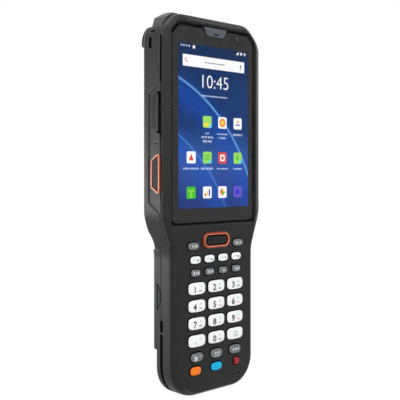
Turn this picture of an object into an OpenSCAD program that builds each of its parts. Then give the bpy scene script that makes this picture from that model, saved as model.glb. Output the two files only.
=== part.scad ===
// Portable barcode data terminal with a 29-key keypad, a touch display and a top scan window.
// Sizes are in millimetres. It stands on its base: +Z runs up its length and the display faces -Y.
// Inside the modules y is counted from the front face towards the back, and seat() centres the depth.

/* [Body] */
// Width of the head, across the display
head_w = 74; // [72:0.5:80]
// Width of the grip, across the keypad
grip_w = 60; // [58:0.5:64]
// Height of the housing, from the base to the top edge of the front cover
shell_h = 200.5; // [199:0.5:208]
// Depth from the front face to the flat of the back
body_d = 25.7; // [25:0.1:30]
// Depth of the straight side walls
side_d = 15.5; // [15:0.1:17]
// Height of the middle of the narrow neck
neck_z = 85.2; // [84:0.2:87]
// Height over which the neck widens from the grip to the head
neck_h = 18.8; // [14:0.2:22]
// Radius of the curves at both ends of the neck
neck_r = 20; // [10:1:30]
// Radius of the two bottom corners
foot_r = 15.5; // [12:0.5:18]
// Chamfer of the two top corners
crown_c = 10.3; // [8:0.1:12]
// Radius that blends the ends of that chamfer
crown_r = 12; // [8:0.5:14]

/* [Covers] */
// Depth of the front cover
front_d = 3.3; // [3.1:0.1:4]
// Width of the slope between the front face and the side, at the head
bevel_head = 5.3; // [4:0.1:5.6]
// Width of the same slope at the grip
bevel_grip = 3.4; // [2.5:0.1:4]
// Gap between the two covers where they meet
part_gap = 0.1; // [0.05:0.05:0.2]
// Width of the shadow groove between the covers at the head's sides
groove_w = 1.2; // [0.8:0.1:1.6]
// Depth of that groove
groove_d = 1.3; // [0.8:0.1:1.8]
// Wall of the rear cover at the head's sides
head_wall = 4.5; // [4:0.1:5]
// Wall of the rear cover at the grip's sides
grip_wall = 3.4; // [3:0.1:4]
// Wall at the base
base_wall = 3.2; // [2.5:0.1:4]
// Wall between the keypad's space and the battery
bay_wall = 1.7; // [1.2:0.1:2]
// Wall of the flat back
back_wall = 3.2; // [2.5:0.1:4]

/* [Display] */
// Margin between the touch glass and the sides of the head
glass_side = 6.5; // [6:0.1:7]
// Margin between the touch glass and the top of the housing
glass_top = 5.3; // [5:0.1:7]
// Height of the glass's lower edge above the base
glass_z = 90.4; // [90:0.2:91]
// Thickness of the touch glass
glass_t = 1.2; // [0.8:0.1:1.3]
// Open joint round the glass
glass_gap = 0.9; // [0.4:0.1:1]
// Margin between the display module and the sides of the glass
lcd_side = 2; // [1.5:0.1:3]
// Margin between the display module and the foot of the glass
lcd_foot = 2.1; // [1.6:0.1:3]
// Margin between the display module and the top of the glass
lcd_top = 7.2; // [6.8:0.1:9]
// Thickness of the display module
lcd_t = 2.5; // [1.8:0.1:3]
// Thickness of the seal under the glass
gasket_t = 0.3; // [0.2:0.05:0.4]
// Space left between stacked flat pieces
stack_gap = 0.05; // [0.02:0.01:0.1]
// Top width of the earpiece insert
ear_w = 17; // [14:0.5:20]
// Height of the earpiece insert
ear_h = 4.7; // [4:0.1:5.2]
// Radius of the front camera's lens
front_lens_r = 1.4; // [1:0.1:1.8]
// Distance of the front camera from the middle
front_lens_x = 16.4; // [14:0.2:18]

/* [Keys] */
// How far the key tops stand out of the front face
key_rise = 1.3; // [1:0.1:1.8]
// Travel of a key
key_travel = 0.8; // [0.5:0.05:0.8]
// Clearance round a key in its opening
key_gap = 0.4; // [0.2:0.05:0.45]
// Width of the flange that holds a key behind the front cover
flange_w = 0.7; // [0.5:0.05:0.75]
// Thickness of that flange
flange_t = 0.7; // [0.5:0.05:0.8]
// Thickness of the front cover's wall round the keys
key_wall = 2.0; // [1.6:0.1:2.2]
// Crown of a key top, from its middle to the ends of its longer side
key_crown = 0.45; // [0.2:0.05:0.6]
// Spacing of the three number columns
num_pitch_x = 14.15; // [13.8:0.05:14.6]
// Spacing of the number rows
num_pitch_z = 9.16; // [9:0.02:9.4]
// Height of the lowest number row above the base
num_z = 29.2; // [28.8:0.1:29.6]
// Width of a number key
num_w = 12.3; // [11.5:0.1:12.6]
// Height of a number key
num_h = 6.8; // [6:0.1:7]
// Spacing of the four-key rows
fun_pitch_x = 10.07; // [9.8:0.01:10.5]
// Height of the white function row above the base
fun_z = 71.7; // [71.6:0.1:72]
// Width of the scan key, without its ring
scan_w = 16.2; // [14:0.2:17]
// Height of the scan key, without its ring
scan_h = 4.9; // [4.4:0.1:5]
// Width of the ring round the scan key
ring_w = 1.35; // [1:0.05:1.5]
// Height of the scan key's middle above the base
scan_z = 81.4; // [81.2:0.1:81.6]

/* [Side controls] */
// Depth of the shallow surround of the side controls
surround_d = 0.8; // [0.5:0.1:1]
// Depth of the control pockets, from the side of the head
pocket_d = 3.1; // [2.9:0.1:3.2]
// Height of a trigger's middle above the base
trigger_z = 116.9; // [116:0.1:118]
// Length of a trigger along its front edge
trigger_l = 22.2; // [20:0.2:23]
// Width of a trigger across the side wall
trigger_w = 6.8; // [6:0.1:7.4]
// Width of a trigger's orange rim
rim_w = 0.95; // [0.7:0.05:1.2]
// Travel of a trigger
trigger_travel = 0.8; // [0.4:0.05:0.8]
// Height of the volume rocker's middle above the base
rocker_z = 148.4; // [148:0.1:149]
// Length of the volume rocker's pocket along its front edge
rocker_l = 23.6; // [22:0.2:24.4]
// Width of the volume rocker's pocket
rocker_w = 7; // [6.5:0.1:7.4]
// Tilt of the rocker each way, in degrees
rocker_tilt = 4; // [2:0.5:4]
// Length of the power key's pocket along its front edge
power_l = 13; // [12:0.5:16]

/* [Battery] */
// Height of the battery pack
battery_h = 76.9; // [76:0.1:77.2]
// Depth of the battery bay's floor behind the front face
bay_y = 9.9; // [9.5:0.1:10.4]
// Running gap round the battery
bay_gap = 0.3; // [0.2:0.05:0.4]
// Height of the open side groove's upper end above the base
slot_z = 40.4; // [38:0.2:43]
// Width of the open side groove
slot_w = 2.25; // [1.8:0.05:2.4]
// Depth of the open side groove
slot_d = 2.5; // [1.5:0.1:2.6]
// Height of the step in the battery's back above the base
chin_z = 24.7; // [20:0.5:28]
// Drop of the battery's back below that step
chin_drop = 2.3; // [1:0.1:3]
// Height of a latch's middle above the base
latch_z = 52.5; // [51:0.5:54]
// Chord of a latch's round front
latch_l = 13.5; // [11:0.5:14]
// Width of a latch
latch_w = 2.9; // [2.4:0.1:3.2]
// Travel of a latch
latch_travel = 1.2; // [0.8:0.1:1.4]

/* [Scan hood] */
// Height of the hood's ears above the housing
hood_rise = 3.5; // [3:0.1:6]
// Depth of the ears' front below the front face of the housing
hood_y = 8.1; // [7.8:0.1:8.6]
// Height of the hood's seat below the top of the housing
hood_seat = 8.5; // [8:0.1:9]
// Thickness of the rear cover's lip in front of the hood
lip_t = 1.2; // [1:0.1:2]
// Half width of the opening between the ears
hood_gap = 14.6; // [10:0.1:16]
// How much wider the opening is on each side at its front
hood_flare = 6; // [2:0.1:6.5]
// Width of the scan window
window_w = 18; // [16:0.2:19]
// Depth of the scan window
window_d = 6.4; // [5:0.1:6.6]
// Thickness of the scan window
window_t = 1.4; // [1:0.1:1.8]

/* [Back] */
// Radius of the rear camera
camera_r = 4.5; // [3.5:0.1:5]
// Distance of the rear camera below the top of the housing
camera_drop = 33.5; // [32.5:0.5:36]
// Radius of the flash
flash_r = 2.2; // [1.5:0.1:2.5]
// Distance of the flash from the camera's middle
flash_x = 10.5; // [9:0.1:12]
// Length of a speaker slot
slit_l = 14; // [10:0.5:16]
// Width of a speaker slot
slit_w = 1.2; // [0.8:0.1:1.4]
// Spacing of the speaker slots
slit_pitch = 2.8; // [2.4:0.1:3]
// Distance between the two strap screw holes
strap_pitch = 28; // [20:0.5:30]
// Radius of a strap screw hole
strap_r = 1.25; // [1:0.05:1.5]
// Depth of a strap screw hole
strap_depth = 4.5; // [3:0.1:5]
// Height of the strap screw holes above the base
strap_z = 98; // [97:0.2:99]

/* [Fixings and base] */
// Radius of a cover screw's shaft
screw_r = 0.9; // [0.7:0.05:1.1]
// Radius of a cover screw's head
screw_head_r = 1.8; // [1.5:0.05:1.9]
// Height of a cover screw's head
screw_head_t = 1.4; // [1:0.1:1.6]
// Clearance round screws, pins and fixed round pieces
fit_gap = 0.1; // [0.05:0.05:0.2]
// Width of the charging socket
usb_w = 9; // [8.6:0.1:9.4]
// Thickness of the charging socket
usb_t = 3.2; // [2.8:0.1:3.4]
// Radius of a charging contact
contact_r = 0.9; // [0.6:0.05:1]
// Spacing of the charging contacts
contact_pitch = 2.5; // [2.3:0.05:2.6]

/* [Hidden] */
$fn = 48;
tiny = 0.01;
far = 60;

// Colours
shell_black = [0.16, 0.16, 0.17];
soft_black = [0.11, 0.11, 0.12];
key_white = [0.93, 0.93, 0.93];
key_grey = [0.45, 0.46, 0.48];
orange = [0.92, 0.38, 0.16];
metal = [0.72, 0.73, 0.75];
board_green = [0.10, 0.32, 0.20];

// Half of the depth between the key tops and the back
mid_y = (body_d - key_rise) / 2;
head_hw = head_w / 2;
grip_hw = grip_w / 2;
// The glass fills the head inside its margins, and the display module fills the glass
glass_w = head_w - 2 * glass_side;
glass_h = shell_h - glass_top - glass_z;
lcd_w = glass_w - 2 * lcd_side;
lcd_z = glass_z + lcd_foot;
lcd_h = glass_h - lcd_foot - lcd_top;
camera_z = shell_h - camera_drop;
rear_y = front_d + part_gap;
neck_top = neck_z + neck_h / 2;
// Depth of the keypad's space in the rear cover
tub_y = bay_y - bay_wall;
// The head's inner space, in three depths
head_space_y = side_d - 0.5;
mid_space_y = body_d - 5.7;
mid_in = head_wall + 5;
back_in = head_wall + 12.5;
back_space_y = body_d - back_wall;
head_space_z = neck_top + 7.4;
space_top = shell_h - 11;
seat_z = shell_h - hood_seat;
// Upper end of the battery bay
bay_top = battery_h + bay_gap;
// Layers of the display, counted from the front face
gasket_y = glass_t + stack_gap;
seat_y = gasket_y + gasket_t + stack_gap;
window_gap = 0.4;
lcd_y = glass_t + stack_gap;
// Layers behind the keys
flange_y = key_wall + 0.1;
mat_y = flange_y + flange_t + key_travel + stack_gap;
mat_t = 0.8;
board_y = mat_y + mat_t + stack_gap;
board_t = 1;
keypad_hw = num_pitch_x + num_w / 2 + 2.3;
keypad_lo = num_z - 19.8;
keypad_hi = glass_z - 3;
// Main board, held on posts in the head
main_y = 9;
main_t = 1.2;
main_lo = head_space_z + 1;
main_hi = shell_h - 25.5;
tab_w = 26;
corner_block_z = main_hi + 2;
corner_block_x = head_hw - 11.5;
corner_block_y = lcd_y + lcd_t + 0.2;
// Side controls
surround_x = head_hw - surround_d;
pocket_x = head_hw - pocket_d;
rim_front = head_hw - 0.1;
pad_flange_t = 0.8;
pad_flange_w = 0.45;
// The pad's flange sits behind the rim and clears the pocket's floor at full travel
rim_back = pocket_x + trigger_travel + pad_flange_t + 0.2;
side_lo = rear_y + 0.1;
trigger_slant = 3.9;
rocker_slant = 3.8;
side_r = 1.2;
// Gap between the rocker or the power key and the edge of its pocket
rocker_edge = 1.4;
rocker_back = pocket_x + rocker_l / 2 * sin(rocker_tilt) + 0.2;
// The rocker and the power key stand out of the surround, just short of the head's side
side_key_top = head_hw - 0.3;
// Screw places: x, z
head_screw_x = head_hw - 5;
head_screws = [neck_top + 2.9, shell_h - 20.9];
head_screw_seat = side_d - 0.7;
grip_screw_x = grip_hw - 5.2;
grip_screws = [14, 70];
grip_screw_seat = bay_y - screw_head_t - 0.1;
screw_tip = front_d - 0.9;

// Points of a closed outline whose corners are rounded. Each corner is [x, z, radius, steps].
function unit(v) = v / norm(v);
function turn(a) = ((a + 540) % 360) - 180;
function corner_arc(a, b, c, r, n) =
    let (
        u = unit(a - b),
        v = unit(c - b),
        half = acos(u * v) / 2,
        mid = b + unit(u + v) * r / sin(half),
        s = b + u * r / tan(half) - mid,
        e = b + v * r / tan(half) - mid,
        from = atan2(s[1], s[0]),
        sweep = turn(atan2(e[1], e[0]) - from)
    )
    [for (k = [0 : n]) mid + r * [cos(from + sweep * k / n), sin(from + sweep * k / n)]];
function rounded(p) =
    let (n = len(p), q = [for (c = p) [c[0], c[1]]])
    [for (i = [0 : n - 1]) each
        corner_arc(q[(i + n - 1) % n], q[i], q[(i + 1) % n], p[i][2], p[i][3])];
function mirrored(p) = [for (i = [len(p) - 1 : -1 : 0]) [-p[i][0], p[i][1], p[i][2], p[i][3]]];

// Outline of the housing from the front, drawn in by its own amount at the head's sides,
// the grip's sides, the base and the top
function outline(in_head, in_grip, in_base, in_top) =
    let (
        hh = head_hw - in_head,
        hg = grip_hw - in_grip,
        lo = in_base,
        hi = shell_h - in_top,
        mean = (in_head + in_top) / 2,
        c = max(3, crown_c - 0.586 * mean),
        rc = max(1.5, min(crown_r - 0.5 * mean, 1.6 * c)),
        rf = max(4, foot_r - 0.7 * (in_grip + in_base) / 2),
        half = [
            [hg, lo, rf, 8],
            [hg, neck_z - neck_h / 2, neck_r, 3],
            [hh, neck_top, neck_r, 3],
            [hh, hi - c, rc, 4],
            [hh - c, hi, rc, 4]
        ]
    )
    rounded(concat(half, mirrored(half)));

// Oval that swells like a cushion: a larger power makes it squarer
function pillow(w, h, power, n = 28) =
    [for (k = [0 : n - 1]) let (a = 360 * (k + 0.5) / n, cx = cos(a), cz = sin(a))
        [sign(cx) * w / 2 * pow(abs(cx), 2 / power), sign(cz) * h / 2 * pow(abs(cz), 2 / power)]];
function box_round(w, h, r, n = 3) =
    rounded([[w / 2, -h / 2, r, n], [w / 2, h / 2, r, n], [-w / 2, h / 2, r, n], [-w / 2, -h / 2, r, n]]);

// Side-control outline in the y-z plane: long edge in front, drawn in evenly by d
function wedge(y0, w, z, l, slant, r, d = 0) =
    let (
        rise = d * norm([w, slant]) / w,
        lo = z - l / 2 + slant * d / w + rise,
        hi = z + l / 2 - slant * d / w - rise,
        step = slant * (w - 2 * d) / w,
        q = max(0.2, r - d)
    )
    rounded([[y0 + d, lo, q, 2], [y0 + w - d, lo + step, q, 3],
        [y0 + w - d, hi - step, q, 3], [y0 + d, hi, q, 2]]);

// Solid between outlines at several depths: each ring is [y, points]
module loft(rings) {
    n = len(rings[0][1]);
    last = len(rings) - 1;
    points = [for (ring = rings) for (p = ring[1]) [p[0], ring[0], p[1]]];
    sides = [for (k = [0 : last - 1]) for (i = [0 : n - 1]) let (a = k * n + i, b = k * n + (i + 1) % n)
        each [[a, b, b + n], [a, b + n, a + n]]];
    // The ends are closed by strips between each point and its mirror image
    front = [for (i = [0 : n / 2 - 2]) [i, n - 1 - i, n - 2 - i, i + 1]];
    back = [for (i = [0 : n / 2 - 2]) [for (j = [i, i + 1, n - 2 - i, n - 1 - i]) last * n + j]];
    polyhedron(points = points, faces = concat(sides, front, back));
}

// Moves the model so that its depth is centred on the origin
module seat() translate([0, -mid_y, 0]) children();
// Extrudes a front-view outline from depth y0 to y1
module deep(y0, y1) translate([0, y1, 0]) rotate([90, 0, 0]) linear_extrude(y1 - y0) children();
// Extrudes a side-view outline from x0 to x1
module across(x0, x1) translate([x0, 0, 0]) rotate([90, 0, 90]) linear_extrude(x1 - x0) children();
// Round bar along y
module bar(x, z, r, y0, y1) translate([x, y1, z]) rotate([90, 0, 0]) cylinder(r = r, h = y1 - y0);
module block(x0, x1, y0, y1, z0, z1) translate([x0, y0, z0]) cube([x1 - x0, y1 - y0, z1 - z0]);
module both_sides() {
    children();
    mirror([1, 0, 0]) children();
}

// Rings of the front cover: flat face, rounded slope, short side
function front_rings() = [
    [0, outline(bevel_head, bevel_grip, 1.5, 3)],
    [0.9, outline(bevel_head * 0.58, bevel_grip * 0.5, 0.7, 1.6)],
    [front_d - 1.1, outline(0.7, 0.5, 0.15, 0.4)],
    [front_d, outline(0.3, 0.2, 0, 0.2)]
];
// Rings of the back: straight side, rim, slope and flat back, the back lower by drop
function back_rings(start, drop) = [
    [start, outline(0.2, 0.1, 0, 0.1)],
    [start + 0.6, outline(0, 0, 0, 0)],
    [side_d - drop, outline(0, 0, 0, 0)],
    [side_d + 1.4 - drop, outline(1.1, 0.8, 0, 1.2)],
    [mid_space_y + 1 - drop, outline(6.5, 5, 0, 5)],
    [body_d - 1.1 - drop, outline(13, 9, 9, 12)],
    [body_d - drop, outline(16.5, 12, 13.5, 16)]
];

// Keypad: [x, z, width, height, squareness, name]
key_rows_z = [for (row = [0 : 3]) num_z + row * num_pitch_z];
soft_x = scan_w / 2 + 8.4;
soft_z = scan_z - 2.4;
small_z = fun_z - 6.85;
grey_z = num_z - 8.65;
low_z = grey_z - 7.0;
function column(i) = (i - 1) * num_pitch_x;
function four(i) = (i - 1.5) * fun_pitch_x;
SMALL = ["key_esc", "key_tab", "key_up", "key_delete"];
FUNCTION = ["key_f1", "key_f2", "key_f3", "key_f4"];
NUMBERS = [["key_dot", "key_0", "key_enter"], ["key_7", "key_8", "key_9"],
    ["key_4", "key_5", "key_6"], ["key_1", "key_2", "key_3"]];
KEYS = concat(
    [[-soft_x, soft_z, 8, 4.4, 3, "key_left"], [soft_x, soft_z, 8, 4.4, 3, "key_right"]],
    [for (i = [0 : 3]) [four(i), fun_z, 7.5, 4.4, 3.2, FUNCTION[i]]],
    [for (i = [0 : 3]) [four(i), small_z, 6.6, 4.2, 3.2, SMALL[i]]],
    [for (row = [0 : 3]) for (i = [0 : 2])
        [column(i), key_rows_z[row], num_w, num_h, 4, NUMBERS[row][i]]],
    [[column(0), grey_z, 9, 5.4, 2.8, "key_light"], [column(1), grey_z, 9, 5.4, 2.8, "key_shift"],
        [column(2), grey_z, 9, 5.4, 2.8, "key_space"]],
    [[column(0) - 0.9, low_z, 7.8, 4.9, 3, "key_orange"], [column(1), low_z, 8.4, 4.8, 2.8, "key_blue"],
        [column(2) + 1.2, low_z + 0.2, 4.1, 4.7, 3.2, "key_red"]]
);
function key_colour(name) =
    name == "key_orange" ? orange :
    name == "key_blue" ? [0.08, 0.66, 0.92] :
    name == "key_red" ? [0.9, 0.25, 0.28] :
    len([for (row = concat(NUMBERS, [FUNCTION])) for (n = row) if (n == name) n]) > 0 ? key_white : key_grey;

module key_outline(k, grow) translate([k[0], k[1]]) polygon(pillow(k[2] + 2 * grow, k[3] + 2 * grow, k[4]));
module scan_outline(grow)
    translate([0, scan_z]) polygon(box_round(scan_w + 2 * grow, scan_h + 2 * grow, scan_h / 2 - 0.3 + grow));

// A key: a crowned cap through the front cover and a flange behind it
module key_cap(rise, crown, half_w) {
    r = (half_w * half_w + crown * crown) / (2 * crown);
    intersection() {
        deep(-rise, flange_y + tiny) children();
        translate([0, r - rise, 0]) sphere(r = r, $fn = 240);
    }
}
module key(i) {
    k = KEYS[i];
    color(key_colour(k[5])) seat() {
        translate([k[0], 0, k[1]]) key_cap(key_rise, key_crown, k[2] / 2)
            polygon(pillow(k[2], k[3], k[4]));
        deep(flange_y, flange_y + flange_t) key_outline(k, flange_w);
    }
}
module key_scan() {
    color(soft_black) seat() {
        translate([0, 0, scan_z]) key_cap(key_rise - 0.3, 0.3, scan_w / 2)
            polygon(box_round(scan_w, scan_h, scan_h / 2 - 0.3));
        deep(flange_y, flange_y + flange_t) scan_outline(flange_w);
    }
}
// Bevelled ring that stays on the front cover round the scan key
module scan_key_ring() {
    color(orange) seat() difference() {
        union() {
            deep(-key_rise + 0.5, key_wall) scan_outline(key_gap + ring_w);
            deep(-key_rise, -key_rise + 0.5 + tiny) scan_outline(key_gap + ring_w - 0.4);
        }
        deep(-far, far) scan_outline(key_gap);
    }
}

// Front cover
module glass_outline(grow) {
    w = glass_w / 2 + grow;
    lo = glass_z - grow;
    hi = glass_z + glass_h + grow;
    polygon(rounded([[w, lo, 2.5, 3], [w, hi - 4.6, 3, 3], [w - 4.6, hi, 3, 3],
        [4.6 - w, hi, 3, 3], [-w, hi - 4.6, 3, 3], [-w, lo, 2.5, 3]]));
}
module lcd_outline(grow) {
    translate([0, lcd_z + lcd_h / 2]) square([lcd_w + 2 * grow, lcd_h + 2 * grow], center = true);
}
module keypad_outline(grow) {
    translate([0, (keypad_lo + keypad_hi) / 2])
        polygon(box_round(2 * (keypad_hw + grow), keypad_hi - keypad_lo + 2 * grow, 7));
}
module front_screw_bores() {
    both_sides() {
        for (z = grip_screws) bar(grip_screw_x, z, screw_r + fit_gap, screw_tip - 0.1, far);
        for (z = head_screws) bar(head_screw_x, z, screw_r + fit_gap, screw_tip - 0.1, far);
    }
}
front_lens_z = glass_z + glass_h - 3.5;
front_lens_body_r = 2.2;
// Ends of the shadow groove
groove_lo = neck_top + 8;
groove_hi = shell_h - 12;
// Microphone slots below the keys
mic_xs = [13, 17.5];
mic_z = 6.8;
mic_l = 3;
module front_cover() {
    color(shell_black) seat() difference() {
        loft(front_rings());
        deep(-far, seat_y) glass_outline(glass_gap);
        deep(-far, far) lcd_outline(window_gap);
        for (k = KEYS) deep(-far, far) key_outline(k, key_gap);
        deep(-far, far) scan_outline(key_gap + ring_w + fit_gap);
        deep(key_wall, far) keypad_outline(flange_w);
        both_sides() block(head_hw - groove_d, far, front_d - groove_w, far, groove_lo, groove_hi);
        bar(front_lens_x, front_lens_z, front_lens_body_r + fit_gap, 0, far);
        for (x = mic_xs) translate([x, 0, mic_z]) cube([mic_l, 2, 0.8], center = true);
        front_screw_bores();
    }
}

// Rear cover: shell, inner space, pockets, posts
// Shadow groove round the joint between the rear cover and the battery, with a small bridge
bridge_z = slot_z - 7.3;
bridge_w = 0.9;
module battery_slot() {
    deep(bay_y - slot_w / 2, bay_y + slot_w / 2) difference() {
        translate([-far, -far]) square([2 * far, far + slot_z]);
        polygon(outline(slot_d, slot_d, slot_d, slot_d));
        translate([-far, bridge_z]) square([2 * far, bridge_w]);
    }
}
module inner_space() {
    difference() {
        union() {
            deep(-far, tub_y) polygon(outline(head_wall, grip_wall, base_wall, 5));
            intersection() {
                // The space narrows in two steps as the back slopes in
                union() {
                    deep(0, head_space_y) polygon(outline(head_wall, grip_wall, base_wall, 5));
                    deep(0, mid_space_y) polygon(outline(mid_in, mid_in, mid_in, mid_in));
                    deep(0, back_space_y) polygon(outline(back_in, back_in, back_in, back_in));
                }
                block(-far, far, -far, far, head_space_z, far * 4);
            }
        }
        block(-far, far, -1, far, space_top, far * 4);
        both_sides() block(corner_block_x, far, corner_block_y, far, corner_block_z, far * 4);
    }
}
// Shallow surround of the side controls, and the small mark between them
surround_y = 0.4;
surround_w = 11.9;
surround_z = 129.85;
surround_l = 72.1;
surround_slant = 8.3;
mark_z = 132.5;
mark_h = 0.8;
module trigger_outline(d)
    polygon(wedge(side_lo, trigger_w, trigger_z, trigger_l, trigger_slant, side_r, d));
module side_pockets() {
    across(surround_x, far)
        polygon(wedge(surround_y, surround_w, surround_z, surround_l, surround_slant, 1.6));
    across(pocket_x, far) trigger_outline(-fit_gap);
}
module left_pockets() {
    side_pockets();
    across(pocket_x, far) polygon(wedge(side_lo, rocker_w, rocker_z, rocker_l, rocker_slant, side_r));
    block(surround_x - mark_h, far, 5.4, 8, mark_z - mark_h / 2, mark_z + mark_h / 2);
}
module right_pockets() {
    side_pockets();
    across(pocket_x, far) polygon(wedge(side_lo, rocker_w, rocker_z, power_l, rocker_slant, side_r));
}
// Strap passage: a slot in the side that rises behind a bar and leaves by a slit in the corner
strap_x = head_hw - 5.5;
strap_lo = shell_h - 19;
strap_hi = strap_lo + 6.2;
strap_y = 9.4;
strap_w = 2.5;
strap_bar = 2.4;
strap_slit = 1.1;
strap_exit = strap_hi + strap_bar;
module strap_passage() {
    block(strap_x, far, strap_y, strap_y + strap_w, strap_lo, strap_hi);
    block(strap_x, strap_x + strap_w, strap_y, strap_y + strap_w, strap_lo, strap_exit + strap_slit);
    block(strap_x, far, strap_y - 1.6, strap_y + strap_w, strap_exit, strap_exit + strap_slit);
}
// Guard that carries the outline of each top corner on past the side
guard_lo = shell_h - 19;
guard_y = side_d + 2.8;
guard_in = 0.5;
module corner_guard() {
    intersection() {
        deep(0, guard_y) polygon(outline(guard_in, guard_in, guard_in, guard_in));
        across(head_hw - 9, far)
            polygon([[side_d - 3, guard_lo], [guard_y - 0.6, guard_lo + 1.5], [guard_y, guard_lo + 2.7],
                [guard_y, far * 4], [side_d - 3, far * 4]]);
    }
}
module rear_screw_bores() {
    both_sides() {
        for (z = head_screws) {
            bar(head_screw_x, z, screw_r + fit_gap, -far, head_screw_seat + tiny);
            bar(head_screw_x, z, screw_head_r + fit_gap, head_screw_seat, far);
        }
        for (z = grip_screws) {
            bar(grip_screw_x, z, screw_r + fit_gap, -far, far);
            bar(grip_screw_x, z, screw_head_r + fit_gap, grip_screw_seat, far);
        }
    }
}
speaker_lift = 15;
speaker_z = head_space_z + speaker_lift;
contacts_drop = 5;
contacts_z = battery_h - contacts_drop;
contacts_hw = 7;
contacts_hh = 2.2;
// Scan aperture, a ledge narrower than the window
window_y = hood_y + 8.5;
// Half width of the hood at its seat, and depth of its low front part
hood_hw = head_hw - 4.9;
hood_low_y = rear_y + lip_t + fit_gap;
// Height of the corner guards' flat top
guard_top = seat_z + 1.6;
window_ledge = 0.8;
module scan_aperture(z0)
    block(-window_w / 2 + window_ledge, window_w / 2 - window_ledge, window_y - window_d / 2 + window_ledge,
        window_y + window_d / 2 - window_ledge, z0, far * 4);
module rear_openings() {
    // Flat seat of the hood behind the lip, between the two corners
    block(-hood_hw - 0.2, hood_hw + 0.2, hood_low_y - fit_gap, far, seat_z, far * 4);
    block(-far, far, hood_low_y - fit_gap, far, guard_top, far * 4);
    scan_aperture(space_top - 1);
    // Rear camera and flash
    bar(0, camera_z, camera_r + fit_gap, head_space_y, far);
    bar(0, camera_z, camera_r + camera_rim, body_d - 0.6, far);
    bar(flash_x, camera_z, flash_r + fit_gap, head_space_y, far);
    // Speaker slots
    for (i = [-2 : 2])
        block(-slit_l / 2, slit_l / 2, back_space_y - 1, far, speaker_z + i * slit_pitch - slit_w / 2,
            speaker_z + i * slit_pitch + slit_w / 2);
    // Strap screw holes
    both_sides() bar(strap_pitch / 2, strap_z, strap_r, body_d - strap_depth, far);
    // Charging socket and contacts
    translate([0, usb_y, -1]) linear_extrude(base_wall + 2) usb_ring(-0.2);
    both_sides() for (x = contact_xs)
        translate([x, usb_y, -1]) cylinder(r = contact_r + fit_gap, h = base_wall + 2);
    // Battery contacts
    block(-contacts_hw, contacts_hw, 0, far, contacts_z - contacts_hh, contacts_z + contacts_hh);
}
camera_rim = 1.6;
usb_y = 5.9;
contact_xs = [for (i = [0 : 2]) usb_w / 2 + 3 + i * contact_pitch];
// Posts behind the boards and round the screws
main_posts = [main_lo + 3, main_hi - 3];
main_post_x = head_hw - head_wall - 2.7;
main_post_r = 1.7;
keypad_posts = [18, 76];
keypad_post_x = keypad_hw - 3;
screw_post_r = screw_r + 1.2;
module posts() {
    both_sides() {
        for (z = main_posts)
            bar(main_post_x, z, main_post_r, main_y + main_t + stack_gap, head_space_y + 0.5);
        for (z = keypad_posts)
            bar(keypad_post_x, z, main_post_r, board_y + board_t + stack_gap, tub_y + 0.5);
        for (z = grip_screws) bar(grip_screw_x, z, screw_post_r, rear_y, tub_y + 0.5);
        for (z = head_screws) bar(head_screw_x, z, screw_post_r, rear_y, tub_y + 0.5);
    }
}
// Rib in the pocket that the volume rocker tilts on
module rocker_rib()
    block(-rocker_back + 0.3, -pocket_x + 0.5, side_lo + rocker_edge, side_lo + rocker_w - rocker_edge,
        rocker_z - 0.6, rocker_z + 0.6);
// Radius of the finger groove across the neck
finger_r = 12;
module rear_cover() {
    color(shell_black) seat() difference() {
        union() {
            difference() {
                union() {
                    loft(back_rings(rear_y, 0));
                    both_sides() corner_guard();
                }
                inner_space();
            }
            posts();
        }
        difference() {
            mirror([1, 0, 0]) left_pockets();
            rocker_rib();
        }
        right_pockets();
        block(-far, far, bay_y, far, -far, bay_top);
        across(-far, far) translate([body_d + 0.3, bay_top + 3.3]) circle(r = finger_r);
        battery_slot();
        both_sides() strap_passage();
        rear_screw_bores();
        rear_openings();
    }
}

// Hood behind the top edge: two ears with the scan window between them
ear_top = shell_h + hood_rise;
hood_mid = shell_h - 0.2;
hood_back = body_d - 2.6;
module hood_front() {
    half = [[hood_hw, seat_z + 0.1, 0.3, 2], [hood_hw, seat_z + 2, 1, 2],
        [head_hw - 9.7, shell_h - 0.9, 2, 2], [head_hw - 16.3, ear_top - 0.7, 3, 2],
        [hood_gap + 2.6, ear_top, 1, 2],
        [hood_gap + 0.8, ear_top - 0.7, 0.5, 2], [hood_gap, hood_mid, 0.5, 2]];
    polygon(rounded(concat(half, mirrored(half))));
}
// The ears' tops fall a little towards the front
module hood_side() {
    polygon([[hood_y, seat_z], [hood_back, seat_z], [hood_back - 0.6, seat_z + 4], [hood_back - 2.3, shell_h],
        [hood_back - 4.5, ear_top], [hood_y + 1, ear_top - 2], [hood_y, ear_top - 2.8]]);
}
// From above, the hood narrows behind the sides as the housing does
module hood_plan() {
    turn_y = side_d - 0.5;
    narrow = hood_hw - 9;
    polygon([[hood_hw, hood_y], [hood_hw, turn_y], [narrow, hood_back], [-narrow, hood_back],
        [-hood_hw, turn_y], [-hood_hw, hood_y]]);
}
module hood_opening() {
    wide = hood_gap + hood_flare;
    polygon([[wide, hood_y - 1], [hood_gap, hood_y + 7], [-hood_gap, hood_y + 7], [-wide, hood_y - 1]]);
}
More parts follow.
